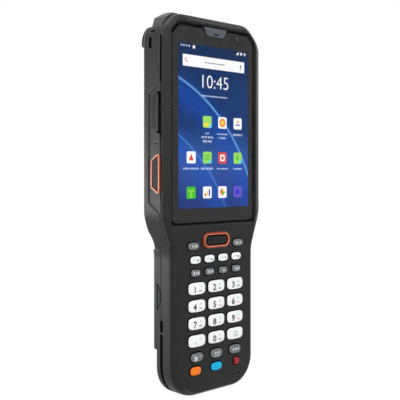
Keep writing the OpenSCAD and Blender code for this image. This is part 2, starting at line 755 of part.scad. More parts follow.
// Low part of the hood, between the rear cover's lip and the ears
hood_low_in = 2.6;
module hood_low() {
    intersection() {
        polygon(outline(hood_low_in, hood_low_in, hood_low_in, 1));
        translate([-hood_hw, seat_z + 0.1]) square([2 * hood_hw, far]);
    }
}
window_z = shell_h - 0.4 - window_t;
module scan_hood() {
    color(soft_black) seat() difference() {
        union() {
            intersection() {
                deep(0, far) hood_front();
                across(-far, far) hood_side();
                translate([0, 0, seat_z]) linear_extrude(far) hood_plan();
            }
            deep(hood_low_y, hood_y + 1) hood_low();
        }
        translate([0, 0, hood_mid]) linear_extrude(far) hood_opening();
        translate([-window_w / 2, window_y - window_d / 2, window_z]) cube([window_w, window_d, far]);
        scan_aperture(seat_z - 1);
    }
}
module scan_window() {
    color([0.25, 0.03, 0.05]) seat()
        block(-window_w / 2 + fit_gap, window_w / 2 - fit_gap, window_y - window_d / 2 + fit_gap,
            window_y + window_d / 2 - fit_gap, window_z + stack_gap, window_z + window_t);
}

// Display
module ear_outline(grow) {
    hi = glass_z + glass_h;
    hw = ear_w / 2 + grow;
    lo = hi - ear_h;
    polygon([[-hw, hi + grow], [2.4 - hw, lo - grow], [hw - 2.4, lo - grow], [hw, hi + grow]]);
}
module display_glass() {
    color([0.05, 0.05, 0.06]) seat() difference() {
        deep(0, glass_t) glass_outline(0);
        deep(-1, far) ear_outline(fit_gap);
        bar(front_lens_x, front_lens_z, front_lens_r + fit_gap, -1, far);
    }
}
module earpiece_grille() {
    color(key_grey) seat() difference() {
        deep(0.1, glass_t) ear_outline(0);
        translate([0.6, 0, glass_z + glass_h - 3.4]) cube([ear_w / 5, far, 0.7], center = true);
    }
}
module front_camera() {
    color([0.02, 0.02, 0.03]) seat() {
        bar(front_lens_x, front_lens_z, front_lens_r, 0.3, glass_t + 0.2);
        bar(front_lens_x, front_lens_z, front_lens_body_r, glass_t + stack_gap, front_d - 0.1);
    }
}
module display_gasket() {
    color("black") seat() difference() {
        deep(gasket_y, gasket_y + gasket_t) glass_outline(-0.3);
        deep(0, far) lcd_outline(window_gap);
        bar(front_lens_x, front_lens_z, front_lens_body_r + fit_gap, 0, far);
    }
}
module lcd_panel() {
    color([0.08, 0.25, 0.6]) seat() deep(lcd_y, lcd_y + lcd_t) lcd_outline(0);
}

// Boards and inner parts
module keypad_mat() {
    color([0.2, 0.2, 0.21]) seat() deep(mat_y, mat_y + mat_t) keypad_outline(0);
}
module keypad_board() {
    color(board_green) seat() deep(board_y, board_y + board_t) keypad_outline(0);
}
module main_board() {
    color(board_green) seat() deep(main_y, main_y + main_t) {
        translate([0, (main_lo + main_hi) / 2])
            square([2 * (head_hw - head_wall - 0.6), main_hi - main_lo], center = true);
        translate([0, main_hi]) square([tab_w, 2 * (space_top - main_hi - 1)], center = true);
    }
}
engine_hw = 10;
engine_h = 8.2;
lens_h = 3;
lens_r = 2.2;
module scan_engine() {
    color(metal) seat() {
        block(-engine_hw, engine_hw, main_y + main_t + stack_gap, window_y + 2,
            space_top - lens_h - engine_h, space_top - lens_h - 0.3);
        for (x = [-engine_hw / 2, engine_hw / 2])
            translate([x, window_y - 0.4, space_top - lens_h - 0.4]) cylinder(r = lens_r, h = lens_h);
    }
}
speaker_hw = slit_l / 2 + 2;
speaker_hh = 2.5 * slit_pitch + 1;
speaker_t = 4.1;
module speaker()
    color("dimgray") seat()
        block(-speaker_hw, speaker_hw, back_space_y - 0.1 - speaker_t, back_space_y - 0.1,
            speaker_z - speaker_hh, speaker_z + speaker_hh);
module rear_camera()
    color([0.03, 0.03, 0.04]) seat()
        bar(0, camera_z, camera_r, main_y + main_t + stack_gap, body_d - 0.9);
module camera_flash()
    color("whitesmoke") seat()
        bar(flash_x, camera_z, flash_r, main_y + main_t + stack_gap, body_d - 0.3);
usb_shell = 0.3;
usb_depth = 6.6;
tongue_w = 6.8;
tongue_t = 0.7;
module usb_ring(inset)
    polygon(box_round(usb_w - 2 * inset, usb_t - 2 * inset, usb_t / 2 - inset - 0.05, 5));
module usb_connector() {
    color(metal) seat() translate([0, usb_y, 0.5]) {
        difference() {
            linear_extrude(usb_depth + 1.4) usb_ring(0);
            translate([0, 0, -1]) linear_extrude(usb_depth + 1) usb_ring(usb_shell);
        }
        translate([-tongue_w / 2, -tongue_t / 2, 0.7]) cube([tongue_w, tongue_t, usb_depth]);
    }
}
module charging_contacts() {
    color("gold") seat() both_sides() for (x = contact_xs)
        translate([x, usb_y, 0.3]) cylinder(r = contact_r, h = base_wall + 0.7);
}
module battery_contacts() {
    hw = contacts_hw - fit_gap;
    hh = contacts_hh - fit_gap;
    color([0.6, 0.5, 0.2]) seat()
        block(-hw, hw, board_y + board_t + stack_gap, bay_y + 0.1, contacts_z - hh, contacts_z + hh);
}
module one_screw(x, z, tip, under_head) {
    bar(x, z, screw_r, tip, under_head + tiny);
    bar(x, z, screw_head_r, under_head, under_head + screw_head_t);
}
module cover_screws() {
    color(metal) seat() both_sides() {
        for (z = head_screws) one_screw(head_screw_x, z, screw_tip, head_screw_seat + stack_gap);
        for (z = grip_screws) one_screw(grip_screw_x, z, screw_tip, grip_screw_seat + stack_gap);
    }
}

// Side controls, drawn on the +X side
module trigger_rim() {
    difference() {
        across(rim_back, rim_front) trigger_outline(0);
        across(0, far) trigger_outline(rim_w);
    }
}
module trigger_pad() {
    across(rim_back - 0.1 - pad_flange_t, rim_back - 0.1) trigger_outline(rim_w - pad_flange_w);
    across(rim_back - 0.1 - tiny, rim_front - 0.25) trigger_outline(rim_w + 0.25);
}
module left_trigger_rim() color(orange) seat() mirror([1, 0, 0]) trigger_rim();
module left_trigger() color(soft_black) seat() mirror([1, 0, 0]) trigger_pad();
module right_trigger_rim() color(orange) seat() trigger_rim();
module right_trigger() color(soft_black) seat() trigger_pad();
module rocker_outline(l)
    polygon(wedge(side_lo + rocker_edge, rocker_w - rocker_edge - 0.5, rocker_z, l - 2.6, 2.6, 0.8));
module volume_key()
    color(key_grey) seat() mirror([1, 0, 0]) across(rocker_back, side_key_top) rocker_outline(rocker_l);
module power_key()
    color(key_grey) seat() across(rocker_back, side_key_top) rocker_outline(power_l);

// Battery: the rear of the grip, with a latch in each side
battery_y = bay_y + bay_gap;
latch_r = (pow(latch_l / 2, 2) + pow(latch_w, 2)) / (2 * latch_w);
latch_y = battery_y + 0.2;
module latch_outline(grow) {
    intersection() {
        translate([latch_y + latch_r, latch_z]) circle(r = latch_r + grow, $fn = 96);
        translate([latch_y - 2, latch_z - latch_l]) square([2 + latch_w + grow, 2 * latch_l]);
    }
}
latch_depth = 2.2;
latch_gap = 0.3;
module battery_pack() {
    color(shell_black) seat() difference() {
        union() {
            intersection() {
                loft(back_rings(battery_y, 0));
                block(-far, far, battery_y, far, chin_z, battery_h);
            }
            intersection() {
                loft(back_rings(battery_y, chin_drop));
                block(-far, far, battery_y, far, -1, chin_z + tiny);
            }
        }
        battery_slot();
        both_sides() across(grip_hw - latch_depth - latch_travel - latch_gap, far) latch_outline(latch_gap);
    }
}
module latch() across(grip_hw - latch_depth, grip_hw - 0.2) latch_outline(0);
module battery_latch_left() color(soft_black) seat() mirror([1, 0, 0]) latch();
module battery_latch_right() color(soft_black) seat() latch();

front_cover();
rear_cover();
scan_hood();
scan_window();
display_glass();
lcd_panel();
display_gasket();
earpiece_grille();
front_camera();
scan_key_ring();
keypad_mat();
keypad_board();
main_board();
scan_engine();
speaker();
rear_camera();
camera_flash();
usb_connector();
charging_contacts();
battery_contacts();
cover_screws();
left_trigger_rim();
left_trigger();
right_trigger_rim();
right_trigger();
volume_key();
power_key();
battery_pack();
battery_latch_left();
battery_latch_right();
key_scan();
for (i = [0 : len(KEYS) - 1]) key(i);
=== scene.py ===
"""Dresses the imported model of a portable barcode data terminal.

Finishes for every part, rounded mouldings, key caps with their legends, the layers of the
display, screws and contacts, then the floor, the lamps and the camera.
"""

import math

import bmesh
import bpy
from bpy.props import FloatProperty, FloatVectorProperty, IntProperty, PointerProperty
from mathutils import Matrix, Vector


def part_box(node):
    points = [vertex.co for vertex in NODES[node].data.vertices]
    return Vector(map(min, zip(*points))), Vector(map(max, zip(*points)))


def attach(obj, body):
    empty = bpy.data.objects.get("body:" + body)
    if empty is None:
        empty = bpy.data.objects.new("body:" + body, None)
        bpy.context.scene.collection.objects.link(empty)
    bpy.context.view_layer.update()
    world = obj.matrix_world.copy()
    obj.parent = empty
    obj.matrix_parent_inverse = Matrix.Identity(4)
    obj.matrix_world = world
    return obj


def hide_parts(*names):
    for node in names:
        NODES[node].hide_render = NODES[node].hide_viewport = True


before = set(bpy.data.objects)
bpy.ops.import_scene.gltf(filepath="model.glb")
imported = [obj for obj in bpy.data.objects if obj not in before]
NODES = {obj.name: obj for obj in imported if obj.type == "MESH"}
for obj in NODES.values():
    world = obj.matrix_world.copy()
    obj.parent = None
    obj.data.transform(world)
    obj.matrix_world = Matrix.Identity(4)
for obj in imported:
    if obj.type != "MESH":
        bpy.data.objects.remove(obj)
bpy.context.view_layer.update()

bl_info = {
    "name": "Barcode Data Terminal",
    "version": (1, 0, 0),
    "blender": (4, 5, 0),
    "location": "3D View > Sidebar > Terminal",
    "description": "Dresses the packed model of a portable barcode data terminal",
    "category": "Object",
}

# The front face; depths below are counted from it towards the back
FACE_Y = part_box("front_cover")[0].y
MM = 0.001


# Shapes

def spot(x, y, z):
    """A point given in millimetres, with y counted from the front face."""
    return Vector((x * MM, FACE_Y + y * MM, z * MM))


def extents(node):
    """Middle and half size of a node across and up its front, in millimetres."""
    low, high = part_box(node)
    mid = (low + high) / 2 / MM
    half = (high - low) / 2 / MM
    return mid.x, mid.z, half.x, half.z


def depths(node):
    """Depths of a node's front and back, in millimetres."""
    low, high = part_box(node)
    return (low.y - FACE_Y) / MM, (high.y - FACE_Y) / MM


def rounded(corners):
    """A closed outline through rounded corners, each (x, z, radius, steps)."""
    points = []
    count = len(corners)
    for i, (x, z, radius, steps) in enumerate(corners):
        here = Vector((x, z))
        before = Vector(corners[i - 1][:2]) - here
        after = Vector(corners[(i + 1) % count][:2]) - here
        before.normalize()
        after.normalize()
        half = before.angle(after) / 2
        middle = here + (before + after).normalized() * radius / math.sin(half)
        start = here + before * radius / math.tan(half) - middle
        end = here + after * radius / math.tan(half) - middle
        turn = start.angle_signed(end)
        first = math.atan2(start.y, start.x)
        for k in range(steps + 1):
            a = first - turn * k / steps
            points.append((middle.x + radius * math.cos(a), middle.y + radius * math.sin(a)))
    return points


def round_box(width, height, radius, steps=5, x=0, z=0):
    """Outline of a box with round corners about (x, z)."""
    w, h = width / 2, height / 2
    corners = [(x + w, z - h), (x + w, z + h), (x - w, z + h), (x - w, z - h)]
    return rounded([(*c, radius, steps) for c in corners])


def circle(radius, x=0, z=0, steps=28):
    """Outline of a circle about (x, z)."""
    turn = 2 * math.pi / steps
    return [(x + radius * math.cos(k * turn), z + radius * math.sin(k * turn)) for k in range(steps)]


def pillow(width, height, power, steps=64):
    """Oval that swells like a cushion: a larger power makes it squarer."""
    points = []
    for k in range(steps):
        a = 2 * math.pi * (k + 0.5) / steps
        c, s = math.cos(a), math.sin(a)
        x = math.copysign(abs(c) ** (2 / power), c) * width / 2
        z = math.copysign(abs(s) ** (2 / power), s) * height / 2
        points.append((x, z))
    return points


def smoothed(mesh, smooth):
    """The mesh, shaded smooth up to an angle in degrees."""
    mesh.shade_smooth()
    mesh.set_sharp_from_angle(angle=math.radians(smooth))
    return mesh


def shaped(shell):
    """The mesh of a bmesh, which is used up."""
    mesh = bpy.data.meshes.new("part")
    shell.to_mesh(mesh)
    shell.free()
    return mesh


def placed(name, data):
    """An object of the scene from its mesh, curve, lamp or camera."""
    made = bpy.data.objects.new(name, data)
    bpy.context.scene.collection.objects.link(made)
    return made


def baked(draft):
    """The final mesh of a draft object, which is used up."""
    now = bpy.context.evaluated_depsgraph_get()
    mesh = bpy.data.meshes.new_from_object(draft.evaluated_get(now), depsgraph=now)
    bpy.data.objects.remove(draft)
    return mesh


def solid(shell, smooth=35):
    """A mesh from a bmesh: faces outward, shaded smooth up to an angle in degrees."""
    if shell.calc_volume(signed=True) < 0:
        bmesh.ops.reverse_faces(shell, faces=shell.faces)
    return smoothed(shaped(shell), smooth)


def stacked(rings, smooth=35, closed=False):
    """A solid through rings of equally many points, its ends filled from their middles."""
    shell = bmesh.new()
    loops = [[shell.verts.new(p) for p in ring] for ring in rings]
    pairs = list(zip(loops, loops[1:]))
    if closed:
        pairs.append((loops[-1], loops[0]))
    for low, high in pairs:
        for i in range(len(low)):
            j = (i + 1) % len(low)
            shell.faces.new((low[i], low[j], high[j], high[i]))
    if not closed:
        for loop in (loops[0], loops[-1]):
            middle = sum((v.co for v in loop), Vector()) / len(loop)
            tip = shell.verts.new(middle)
            for i in range(len(loop)):
                shell.faces.new((loop[i], loop[(i + 1) % len(loop)], tip))
    bmesh.ops.recalc_face_normals(shell, faces=shell.faces)
    return solid(shell, smooth)


def turned(profile, x, z, steps=48, smooth=35):
    """A solid turned about a line along y through (x, z), from (radius, depth) points."""
    rings = [[spot(px, depth, pz) for px, pz in circle(radius, x, z, steps)] for radius, depth in profile]
    return stacked(rings, smooth)


def plate(outlines, front, back):
    """A flat solid between two depths; outlines inside the first are holes."""
    curve = bpy.data.curves.new("plate", "CURVE")
    curve.dimensions = "2D"
    curve.fill_mode = "BOTH"
    for outline in outlines:
        line = curve.splines.new("POLY")
        line.points.add(len(outline) - 1)
        for point, (x, z) in zip(line.points, outline):
            point.co = (x * MM, z * MM, 0, 1)
        line.use_cyclic_u = True
    return stood_up(curve, front, back)


def stood_up(curve, front, back):
    """The mesh of a flat curve or text, stood up facing the front between two depths."""
    curve.extrude = (back - front) / 2 * MM
    mesh = baked(placed("drawn", curve))
    mesh.transform(Matrix.Rotation(math.radians(90), 4, "X"))
    mesh.transform(Matrix.Translation((0, FACE_Y + (front + back) / 2 * MM, 0)))
    return mesh


# A figure's height as a share of the font's size
FIGURE_SHARE = 0.7


def lettered(text, height, x, z, front, back, weight):
    """Plain figures of a given height, centred on (x, z), thickened by weight millimetres."""
    curve = bpy.data.curves.new("figures", "FONT")
    curve.body = text
    curve.offset = weight * MM
    curve.size = height / FIGURE_SHARE * MM
    curve.align_x = curve.align_y = "CENTER"
    curve.resolution_u = 6
    mesh = stood_up(curve, front, back)
    mesh.transform(Matrix.Translation((x * MM, 0, z * MM)))
    return mesh


# Points closer than this in metres are one: in a joined mesh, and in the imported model
JOINED_WELD, PACKED_WELD = 1e-8, 1e-6
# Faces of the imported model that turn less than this, in degrees, are one face
FLAT = 0.4
# Share of the radius that edges inside a moulding get
INNER_SHARE = 0.3


def joined(parts, smooth=35):
    """One mesh from (mesh, finish number) pairs; without a number, a mesh keeps its own."""
    shell = bmesh.new()
    for mesh, number in parts:
        before = len(shell.faces)
        shell.from_mesh(mesh)
        shell.faces.ensure_lookup_table()
        if number is not None:
            for face in shell.faces[before:]:
                face.material_index = number
        bpy.data.meshes.remove(mesh)
    bmesh.ops.remove_doubles(shell, verts=shell.verts, dist=JOINED_WELD)
    return smoothed(shaped(shell), smooth)


def modify(draft, kind, **settings):
    """Gives a draft a modifier with its settings."""
    made = draft.modifiers.new(kind, kind)
    for name, value in settings.items():
        setattr(made, name, value)


def moulding(node, edge, segments=2, smooth=32, inner=None):
    """A node's shape with its edges rounded: a welded copy, bevelled.

    Edges inside the box inner, (x, low z, high z) in millimetres, get a share of the radius.
    The rounded edges take the piece's second finish, on most pieces a painted highlight and on the latches a
    painted shade.
    """
    shell = bmesh.new()
    shell.from_mesh(NODES[node].data)
    bmesh.ops.remove_doubles(shell, verts=shell.verts, dist=PACKED_WELD)
    flat = math.radians(FLAT)
    bmesh.ops.dissolve_limit(shell, angle_limit=flat, verts=shell.verts, edges=shell.edges)
    weight = shell.edges.layers.float.new("bevel_weight_edge")
    for line in shell.edges:
        if not line.is_manifold or line.calc_face_angle() < math.radians(smooth):
            continue
        line[weight] = 1
        middle = (line.verts[0].co + line.verts[1].co) / 2 / MM
        if inner and abs(middle.x) < inner[0] and inner[1] < middle.z < inner[2]:
            line[weight] = INNER_SHARE
    mesh = shaped(shell)
    mesh.shade_smooth()
    # Two empty slots: the bevel only numbers its faces where the slot is there
    mesh.materials.append(None)
    mesh.materials.append(None)
    draft = placed("draft", mesh)
    modify(draft, "BEVEL", width=edge * MM, segments=segments, limit_method="WEIGHT",
           use_clamp_overlap=False, miter_outer="MITER_ARC", material=1)
    modify(draft, "WEIGHTED_NORMAL", keep_sharp=False, weight=60)
    return baked(draft)


def piece(name, mesh, body, finishes, stands_for=()):
    """A finished piece: named, coloured by its finishes' names, and riding on its body."""
    mesh.name = name
    made = placed(name, mesh)
    while len(mesh.materials) < len(finishes):
        mesh.materials.append(None)
    for number, finish in enumerate(finishes):
        mesh.materials[number] = finished(finish)
    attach(made, body)
    if stands_for:
        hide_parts(*stands_for)


def mould(name, node, body, slot, finishes, edge, **settings):
    """Makes a piece from a node with rounded edges."""
    piece(name, moulding(node, edge, **settings), body, finishes, [node])


def coat(finish, *nodes):
    """Gives nodes that keep their shape their finish."""
    for node in nodes:
        mesh = NODES[node].data
        mesh.materials.clear()
        mesh.materials.append(finished(finish))


# Shader nodes

def feed(tree, node, inputs):
    """Sets or links inputs of a node, by name or number."""
    for name, value in inputs.items():
        if isinstance(value, bpy.types.NodeSocket):
            tree.links.new(value, node.inputs[name])
        else:
            node.inputs[name].default_value = value


def add(tree, kind, inputs=None, **settings):
    """A node with its settings, and its inputs set or linked."""
    made = tree.nodes.new(kind)
    for name, value in settings.items():
        setattr(made, name, value)
    feed(tree, made, inputs or {})
    return made


def sums(tree, operation, *values, clamp=False):
    """A Math node's result."""
    made = add(tree, "ShaderNodeMath", dict(enumerate(values)), operation=operation, use_clamp=clamp)
    return made.outputs[0]


def blended(tree, share, first, second):
    """A colour mix's result."""
    return add(tree, "ShaderNodeMix", {0: share, 6: first, 7: second}, data_type="RGBA").outputs[2]


def noise(tree, place, scale, detail, rough=0.5, twist=0.0):
    """Noise from 0 to 1, with scale waves to the metre."""
    made = add(tree, "ShaderNodeTexNoise", {"Vector": place, "Scale": scale, "Detail": detail,
                                            "Roughness": rough, "Distortion": twist})
    return made.outputs["Fac"]


def ranged(tree, value, start=0, end=1, first=0, last=1, **settings):
    """A value carried over from the range start to end to the range first to last."""
    made = add(tree, "ShaderNodeMapRange", {"Value": value, "From Min": start, "From Max": end,
                                            "To Min": first, "To Max": last}, **settings)
    return made.outputs[0]


def paint(*levels):
    """A colour written from 0 to 255, as a shader takes it."""
    shares = [level / 255 for level in levels]
    return (*[c / 12.92 if c <= 0.04045 else ((c + 0.055) / 1.055) ** 2.4 for c in shares], 1)


def new_group(name, inputs, outputs, kind="ShaderNodeTree"):
    """An empty node group with named sockets; each input is (label, type, value)."""
    tree = bpy.data.node_groups.new(name, kind)
    for label, socket_type, value in inputs:
        socket = tree.interface.new_socket(label, in_out="INPUT", socket_type="NodeSocket" + socket_type)
        if value is not None:
            socket.default_value = value
    for label, socket_type in outputs:
        tree.interface.new_socket(label, in_out="OUTPUT", socket_type="NodeSocket" + socket_type)
    return tree, tree.nodes.new("NodeGroupInput").outputs, tree.nodes.new("NodeGroupOutput")


def moulded_surface():
    """Group: fine spark-eroded grain, slow shifts of tone and of gloss."""
    name = "Moulded surface"
    if name in bpy.data.node_groups:
        return bpy.data.node_groups[name]
    tree, given, result = new_group(
        name, [("Vector", "Vector", None), ("Colour", "Color", None), ("Tone", "Float", 0.1),
               ("Grain", "Float", 2000), ("Roughness", "Float", 0.5), ("Spread", "Float", 0.1)],
        [("Colour", "Color"), ("Roughness", "Float"), ("Height", "Float")])
    fine = noise(tree, given["Vector"], given["Grain"], detail=2, rough=0.55)
    broad = noise(tree, given["Vector"], scale=45, detail=3, rough=0.6)
    shift = sums(tree, "SUBTRACT", broad, 0.5)
    speck = sums(tree, "SUBTRACT", fine, 0.5)
    both = sums(tree, "ADD", shift, sums(tree, "MULTIPLY", speck, 0.6))
    factor = sums(tree, "ADD", 1, sums(tree, "MULTIPLY", both, sums(tree, "MULTIPLY", given["Tone"], 2)))
    toned = add(tree, "ShaderNodeVectorMath", {0: given["Colour"], "Scale": factor}, operation="SCALE")
    rough = sums(tree, "ADD", given["Roughness"], sums(tree, "MULTIPLY", both, given["Spread"]), clamp=True)
    feed(tree, result, {"Colour": toned.outputs[0], "Roughness": rough, "Height": fine})
    return tree


def painted_edge_highlight():
    """Group: a paler, smoother line along edges: a painted highlight."""
    name = "Rubbed edges"
    if name in bpy.data.node_groups:
        return bpy.data.node_groups[name]
    tree, given, result = new_group(
        name, [("Vector", "Vector", None), ("Colour", "Color", None), ("Highlight", "Color", None),
               ("Roughness", "Float", 0.5), ("Width", "Float", 0.0005), ("Amount", "Float", 0.5)],
        [("Colour", "Color"), ("Roughness", "Float")])
    soft = add(tree, "ShaderNodeBevel", {"Radius": given["Width"]}, samples=4)
    face = add(tree, "ShaderNodeNewGeometry").outputs["Normal"]
    turn = add(tree, "ShaderNodeVectorMath", {0: soft.outputs[0], 1: face}, operation="DOT_PRODUCT")
    edge = sums(tree, "MULTIPLY", sums(tree, "SUBTRACT", 1, turn.outputs["Value"]), 6, clamp=True)
    patch = noise(tree, given["Vector"], scale=260, detail=4, rough=0.7)
    broken = ranged(tree, patch, 0.38, 0.62)
    mask = sums(tree, "MULTIPLY", sums(tree, "MULTIPLY", edge, broken), given["Amount"])
    smoother = sums(tree, "SUBTRACT", given["Roughness"], sums(tree, "MULTIPLY", mask, 0.12))
    # The paler colour along the edges is a painted highlight
    colour = blended(tree, mask, given["Colour"], given["Highlight"])
    feed(tree, result, {"Colour": colour, "Roughness": smoother})
    return tree


def begin(name):
    """The node tree of a new material, its shader, and where the surface lies."""
    made = bpy.data.materials.new(name)
    made.use_nodes = True
    tree = made.node_tree
    tree.nodes.clear()
    shader = add(tree, "ShaderNodeBsdfPrincipled")
    out = add(tree, "ShaderNodeOutputMaterial", {"Surface": shader.outputs[0]})
    out.is_active_output = True
    return tree, shader, add(tree, "ShaderNodeTexCoord").outputs["Object"]


def plastic(name, colour, rough=0.5, tone=0.1, grain=2000, depth=0.02, spread=0.12, edge_highlight=None,
            amount=0.5, specular=0.5, metallic=0.0, coating=0.0):
    """Moulded plastic, rubber or paint: grain, tone, gloss and a painted highlight along edges."""
    tree, shader, here = begin(name)
    surface = add(tree, "ShaderNodeGroup", {
        "Vector": here, "Colour": colour, "Tone": tone, "Grain": grain, "Roughness": rough,
        "Spread": spread}, node_tree=moulded_surface())
    last = surface
    # A paler colour along edges: a painted highlight
    if edge_highlight:
        last = add(tree, "ShaderNodeGroup", {
            "Vector": here, "Colour": surface.outputs["Colour"], "Roughness": surface.outputs["Roughness"],
            "Highlight": edge_highlight, "Width": 0.5 * MM, "Amount": amount}, node_tree=painted_edge_highlight())
    bump = add(tree, "ShaderNodeBump",
               {"Height": surface.outputs["Height"], "Strength": 0.5, "Distance": depth * MM})
    feed(tree, shader, {
        "Base Color": last.outputs["Colour"], "Roughness": last.outputs["Roughness"],
        "Normal": bump.outputs[0], "Specular IOR Level": specular, "Metallic": metallic,
        "Coat Weight": coating, "Coat Roughness": 0.15})


# Looks of the plastics, rubbers and inks; depth is the grain's, in millimetres
FINISHES = {
    # Dark covers with a painted highlight on their edges, and a paler plastic on rounded edges, also a
    # painted highlight
    "cover_plastic": dict(rough=0.44, tone=0.14, grain=1700, depth=0.03, edge_highlight=(0.13, 0.13, 0.135, 1),
                          amount=0.6, specular=0.22),
    "highlit_edge_plastic": dict(colour=(0.044, 0.044, 0.045, 1), rough=0.36, tone=0.3, grain=1200, depth=0.01,
                         specular=0.35),
    # Harder, darker plastic of the scan hood, with a painted highlight along its edges
    "hood_plastic": dict(colour=paint(28, 28, 30), rough=0.38, tone=0.12, grain=1500,
                         edge_highlight=(0.12, 0.12, 0.125, 1), amount=0.35, specular=0.3),
    # Orange satin plastic of the trims with a painted highlight on its edges, and a paler orange on rounded
    # edges, also painted highlight
    "trim_plastic": dict(rough=0.3, tone=0.08, grain=1500, depth=0.01, edge_highlight=(1.0, 0.5, 0.32, 1),
                         amount=1.0, specular=0.4),
    "highlit_edge_trim": dict(colour=(0.86, 0.27, 0.12, 1), rough=0.28, tone=0.2, grain=1200, depth=0.006),
    # Soft-touch rubber of the trigger pads, with a painted highlight along its edges
    "pad_rubber": dict(colour=paint(36, 42, 36), rough=0.6, tone=0.15, grain=2600, depth=0.04,
                       edge_highlight=(0.06, 0.065, 0.06, 1), amount=0.3, specular=0.2),
    # Grey plastic of the side keys, with a painted highlight along its edges
    "side_key_plastic": dict(colour=paint(22, 22, 24), rough=0.42, grain=1800,
                             edge_highlight=(0.2, 0.2, 0.2, 1), amount=0.8, specular=0.14),
    # Near-black on the latches' rounded edges: a painted shade deep in their openings
    "latch_edge_shade": dict(colour=paint(10, 10, 11), rough=0.7, grain=1800, depth=0.01, specular=0.05),
    # White keys, slightly glossy; silver-grey painted keys; the black scan key
    "white_key": dict(rough=0.32, tone=0.025, grain=900, depth=0.006, spread=0.1, coating=0.15),
    "grey_key": dict(rough=0.38, tone=0.22, grain=5200, depth=0.006, spread=0.3, metallic=0.35, coating=0.2),
    "black_key": dict(colour=paint(16, 21, 21), rough=0.3, grain=1500, depth=0.01, specular=0.2),
    # Dark rubber of the keys' sides and flanges, which also paints the shade in the gaps round the caps
    "key_side_rubber_shade": dict(colour=paint(20, 20, 22), rough=0.6, tone=0.12, grain=2200, specular=0.2),
    # Prints on the glass: its border; and near-black along its rim, a painted shadow of the joint round the
    # glass
    "border_ink": dict(colour=paint(31, 30, 31), tone=0.05, grain=900, depth=0.001, specular=0.2),
    "rim_shadow": dict(colour=paint(5, 5, 6), rough=0.7, grain=900, depth=0.001, specular=0.0),
    "gasket_foam": dict(colour=paint(20, 20, 20), rough=0.85, tone=0.2, grain=3000, depth=0.03),
    "earpiece_mesh": dict(colour=paint(72, 77, 86), tone=0.35, grain=5200, depth=0.05, metallic=0.2),
    "camera_black": dict(colour=paint(10, 10, 12), rough=0.25, depth=0.002, coating=0.6),
    "engine_case": dict(colour=paint(120, 122, 126), rough=0.4, tone=0.2, grain=2500, metallic=0.8),
    "flash_lens": dict(colour=paint(236, 232, 214), rough=0.25, tone=0.06, grain=1500, coating=0.5),
    "speaker_cloth": dict(colour=paint(34, 34, 36), rough=0.85, tone=0.4, grain=4200, depth=0.12),
    "key_mat": dict(colour=paint(60, 62, 64), rough=0.7, grain=1200, depth=0.05),
}
# Coloured key plastic and the legends' printed inks
for label, levels in (("orange_key", (240, 120, 28)), ("blue_key", (0, 170, 216)),
                      ("red_key", (158, 34, 38))):
    FINISHES[label] = dict(colour=paint(*levels), rough=0.34, tone=0.05, grain=1000, depth=0.006,
                           specular=0.2)
for label, levels in (("dark_ink", (34, 34, 38)), ("light_ink", (188, 192, 196)),
                      ("red_ink", (226, 140, 150)), ("teal_ink", (166, 190, 194))):
    FINISHES[label] = dict(colour=paint(*levels), tone=0.08, grain=3000, depth=0.002)
# Finishes whose colour is a setting
CHOSEN = {"cover_plastic": "cover", "trim_plastic": "trim", "white_key": "white_key", "grey_key": "grey_key"}


def metal(name, grain, stretch, gloss, dark, pale):
    """Bare or plated metal: fine lines or spots shift its gloss and its tint."""
    tree, shader, here = begin(name)
    place = add(tree, "ShaderNodeMapping", {"Vector": here, "Scale": stretch}).outputs[0]
    shift = noise(tree, place, grain, 3)
    feed(tree, shader, {"Roughness": ranged(tree, shift, 0, 1, *gloss), "Metallic": 1,
                        "Base Color": blended(tree, shift, (*dark, 1), (*pale, 1))})


def clear_glass(name, ior, tint, smears):
    """Clear glass or resin with faint smears."""
    tree, shader, here = begin(name)
    wipe = noise(tree, here, scale=70, detail=4, twist=1.5)
    feed(tree, shader, {"Roughness": ranged(tree, wipe, 0.45, 0.75, 0, smears), "Base Color": (*tint, 1),
                        "Transmission Weight": 1, "IOR": ior})


def board(name):
    """Green solder mask with copper tracks under it."""
    tree, shader, here = begin(name)
    upright = add(tree, "ShaderNodeMapping", {"Vector": here, "Rotation": (math.radians(90), 0, 0)})
    grid = add(tree, "ShaderNodeTexBrick", {
        "Vector": upright.outputs[0], "Scale": 300, "Mortar Size": 0.03, "Color1": (0.010, 0.09, 0.035, 1),
        "Color2": (0.014, 0.12, 0.045, 1), "Mortar": (0.03, 0.22, 0.08, 1)})
    bump = add(tree, "ShaderNodeBump",
               {"Height": grid.outputs["Fac"], "Strength": 0.4, "Distance": 0.03 * MM})
    feed(tree, shader, {"Base Color": grid.outputs["Color"], "Normal": bump.outputs[0], "Roughness": 0.35})


# The other looks: what makes each, then its settings
OTHERS = {
    "steel": (metal, 1, (900, 900, 60), (0.22, 0.42), (0.50, 0.50, 0.51), (0.68, 0.68, 0.69)),
    "gold": (metal, 1400, (1, 1, 1), (0.18, 0.38), (0.72, 0.48, 0.14), (0.95, 0.70, 0.28)),
    "touch_glass": (clear_glass, 1.1, (1, 1, 1), 0.012),
    "scan_red": (clear_glass, 1.49, (0.55, 0.03, 0.05), 0.06),
    "board": (board,),
}


def finished(name):
    """The material of a name, made when it is first asked for."""
    if name in bpy.data.materials:
        return bpy.data.materials[name]
    if name in OTHERS:
        maker, *settings = OTHERS[name]
        maker(name, *settings)
    else:
        look = dict(FINISHES[name])
        if name in CHOSEN:
            look["colour"] = (*getattr(bpy.context.scene.terminal_finish, CHOSEN[name]), 1)
        plastic(name, **look)
    return bpy.data.materials[name]


# What repeats: one pattern on many points

